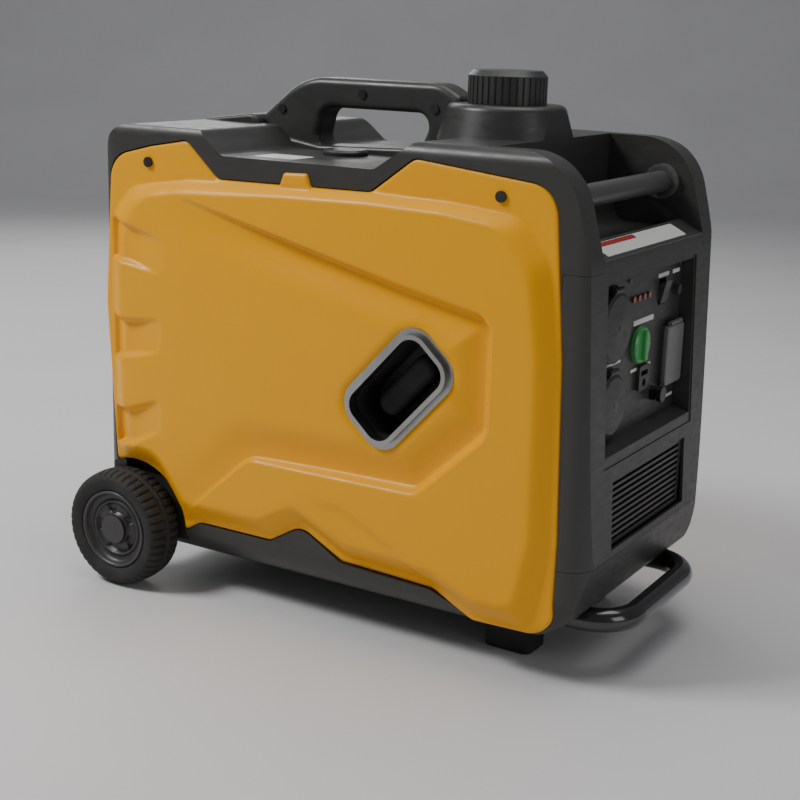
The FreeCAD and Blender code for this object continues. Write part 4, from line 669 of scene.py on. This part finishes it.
# Labels, and a pale film on the deck that is a painted highlight.
def labels():
    def on_ledge(x, y):
        return (x, y, LEDGE_HIGH - (x - LEDGE_REAR) * LEDGE_SLOPE + FILM_GAP)

    def on_deck(x, y):
        return (x, y, DECK_TOP + FILM_GAP)

    length = math.hypot(1, LEDGE_SLOPE)
    up = (LEDGE_SLOPE / length, 0.0, 1.0 / length)
    near, far = -102.0, 82.0
    white = film("ledge_film", "label_stock", [(241.5, near), (258.5, near), (258.5, far),
                                               (241.5, far)], 2.0, on_ledge, 0.5, up)
    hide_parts("blank_labels")
    red = film("ledge_film_band", "lamp_lens", [(242.2, near + 2), (247.0, near + 2),
                                                (247.0, -14.0), (242.2, -14.0)], 0.8,
               on_ledge, 0.7, up)
    red.data.materials[0] = RED_INK
    # The deck film is no label: a pale sheet on the deck, a painted highlight for the bright
    # reflection strip at the foot of the deck's slope.
    film("deck_painted_highlight", "label_stock", [(-100, -128), (-53, -128), (-53, -92), (-100, -92)],
         3.0, on_deck, 0.6, (0.0, 0.0, 1.0))


def bevelled(name, slot, body, corners, to_space, thick, rim):
    """A plate with a rounded rim: its outline steps in over the last of its thickness."""
    loop = rounded(corners, 1.5)
    centre = loop.mean(axis=0)
    count = len(loop)
    rows = [(0.0, 0.0), (0.0, thick - rim)]
    for k in range(1, 5):
        angle = math.radians(90 * k / 4)
        rows.append((rim * (1 - math.cos(angle)), thick - rim + rim * math.sin(angle)))
    points = []
    for shrink, rise in rows:
        away_from = loop - centre
        length = np.linalg.norm(away_from, axis=1)[:, None]
        moved = centre + away_from * (1 - shrink / length)
        points += [to_space(u, v, rise) for u, v in moved]
    faces = [tuple(range(count))]
    for row in range(len(rows) - 1):
        for i in range(count):
            j = (i + 1) % count
            faces.append((row * count + i, row * count + j, (row + 1) * count + j,
                          (row + 1) * count + i))
    faces.append(tuple(range((len(rows) - 1) * count, len(rows) * count)))
    piece = new_piece(name, slot, body, points, faces)
    piece.data.shade_smooth()
    sharpen = piece.modifiers.new("rims", "EDGE_SPLIT")
    sharpen.split_angle = math.radians(35)
    return piece


PLATE_X = 250.0        # the control panel's plate, whose node's box reaches past it
SCREW_PLACES = ((-100, 208), (-100, 358), (-30, 358), (96, 208), (96, 358), (-30, 208))


def panel_trim():
    """Screws and blank legend strips on the control panel's plate."""
    def on_plate(y, z, rise):
        return (PLATE_X + 0.02 + rise, y, z)

    for index, (y, z) in enumerate(SCREW_PLACES):
        ring = [(y + 3.4 * math.cos(a), z + 3.4 * math.sin(a), 0)
                for a in np.linspace(0, 2 * math.pi, 20, endpoint=False)]
        bevelled(f"panel_screw_{index}", "zinc_screw", "chassis", ring, on_plate, 1.8, 0.9)
    strips = ((-14, 34, 312, 317), (-14, 34, 268, 271), (40, 66, 350, 354),
              (76, 94, 350, 354), (-98, -40, 283.5, 286.0), (60, 98, 226, 229))
    for index, (left, right, low, high) in enumerate(strips):
        bevelled(f"legend_strip_{index}", "label_stock", "chassis",
                 [(left, low, 1), (right, low, 1), (right, high, 1), (left, high, 1)],
                 on_plate, 0.5, 0.2)


# --------------------------------------------------------------------------------------
# Starter rope: three strands from the pulley, round the eyelet, to the grip
# --------------------------------------------------------------------------------------
def starter_rope():
    low, high = [[c / MM for c in corner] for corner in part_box("pull_rope")]
    radius = (high[2] - low[2]) / 2
    level = (high[2] + low[2]) / 2
    run_y = high[1] - radius
    grip_x, bend = WINDOW_CENTRE[0], 4.0
    path = [(x, run_y) for x in np.linspace(low[0], grip_x - bend, 40)]
    for angle in np.linspace(0, math.pi / 2, 9)[1:]:
        path.append((grip_x - bend + bend * math.sin(angle),
                     run_y - bend + bend * math.cos(angle)))
    path += [(grip_x, y) for y in np.linspace(run_y - bend, low[1], 60)[1:]]
    path = np.array(path)
    runs = np.gradient(path, axis=0)
    runs /= np.linalg.norm(runs, axis=1)[:, None]
    travelled = np.concatenate(([0], np.cumsum(np.linalg.norm(np.diff(path, axis=0), axis=1))))
    sides, strands, lay = 24, 3, 14.0
    points = []
    for place, run, length in zip(path, runs, travelled):
        for k in range(sides):
            angle = 2 * math.pi * k / sides
            twist = strands * (angle - 2 * math.pi * length / lay)
            reach = radius * (0.86 + 0.12 * math.cos(twist))
            across = reach * math.cos(angle)
            points.append((place[0] + run[1] * across, place[1] - run[0] * across,
                           level + reach * math.sin(angle)))
    faces = [tuple(range(sides))]
    for row in range(len(path) - 1):
        for k in range(sides):
            j = (k + 1) % sides
            faces.append((row * sides + k, row * sides + j, (row + 1) * sides + j,
                          (row + 1) * sides + k))
    faces.append(tuple(range((len(path) - 1) * sides, len(path) * sides)))
    piece = new_piece("starter_rope", "rope_fibre", None, points, faces)
    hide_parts("pull_rope")
    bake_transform(piece)


RED_INK = moulded("red_ink", (0.42, 0.02, 0.015), (0.36, 0.02, 0.015), 0.34,
                  grain_depth=0.00002)

SLOT_OF = {entry["node"]: entry["material_slot"] for entry in frame["record"]["subparts"]}
for node_name, node in NODES.items():
    dress(node, SLOT_OF[node_name])


# --------------------------------------------------------------------------------------
# Stage: floor, lights and camera
# --------------------------------------------------------------------------------------
CAMERA_PLACE = Vector((0.748, -1.249, 0.575))
CAMERA_AIM = Vector((-0.0177, 0.0190, 0.1930))
CAMERA_ROLL = math.radians(1.7)
CAMERA_LENS = 65.6


def floor():
    """A level floor that curves up into a backdrop behind the machine."""
    mesh = bpy.data.meshes.new("floor")
    reach, bend, low = 3.2, 1.6, -0.0005
    across = Vector((CAMERA_AIM - CAMERA_PLACE).xy.normalized())
    side = Vector((-across.y, across.x))
    profile = [(-5.0, low), (reach, low)]
    for k in range(1, 25):
        angle = math.radians(90 * k / 24)
        profile.append((reach + bend * math.sin(angle), low + bend * (1 - math.cos(angle))))
    profile.append((reach + bend, 4.5))
    points = []
    for along, height in profile:
        for way in (-7.0, 7.0):
            points.append((*(across * along + side * way), height))
    faces = [(2 * k, 2 * k + 1, 2 * k + 3, 2 * k + 2) for k in range(len(profile) - 1)]
    mesh.from_pydata(points, [], faces)
    mesh.shade_smooth()
    thing = bpy.data.objects.new("floor", mesh)
    bpy.context.scene.collection.objects.link(thing)
    s = Shader("floor_paper")
    fine = s.noise(4.0, 3.0)
    s.link(s.mix(s.scale(fine, 0.3, 0.7, 0.0, 1.0), (0.66, 0.66, 0.66), (0.63, 0.63, 0.63)),
           s.bsdf.inputs["Base Color"])
    s.set(Roughness=0.7)
    mesh.materials.append(s.material)


def area_light(name, place, aim, size, power):
    data = bpy.data.lights.new(name, "AREA")
    data.shape = "RECTANGLE"
    data.size, data.size_y = size
    data.energy = power
    light = bpy.data.objects.new(name, data)
    bpy.context.scene.collection.objects.link(light)
    light.location = place
    light.rotation_euler = (Vector(aim) - Vector(place)).to_track_quat("-Z", "Y").to_euler()
    return light


def studio():
    floor()
    world = bpy.data.worlds.new("studio")
    bpy.context.scene.world = world
    world.use_nodes = True
    background = world.node_tree.nodes["Background"]
    background.inputs["Color"].default_value = (0.93, 0.95, 1.0, 1.0)
    background.inputs["Strength"].default_value = 0.17
    middle = (0.0, 0.0, 0.25)
    area_light("key", (-1.5, -1.35, 2.3), middle, (0.9, 0.7), 61.0)
    area_light("top", (0.2, 0.3, 2.4), middle, (1.6, 1.6), 22.0)
    area_light("front_fill", (2.2, -0.6, 1.0), middle, (0.9, 1.2), 7.0)
    area_light("rear_fill", (-1.8, 1.6, 1.4), middle, (1.4, 1.2), 14.0)


def camera():
    data = bpy.data.cameras.new("camera")
    data.lens = CAMERA_LENS
    data.sensor_width = 36.0
    thing = bpy.data.objects.new("camera", data)
    bpy.context.scene.collection.objects.link(thing)
    turn = (CAMERA_AIM - CAMERA_PLACE).to_track_quat("-Z", "Y").to_matrix().to_4x4()
    roll = Matrix.Rotation(CAMERA_ROLL, 4, "Z")
    thing.matrix_world = Matrix.Translation(CAMERA_PLACE) @ turn @ roll
    bpy.context.scene.camera = thing


studio()
camera()
side_panels()
wheels()
labels()
panel_trim()
starter_rope()
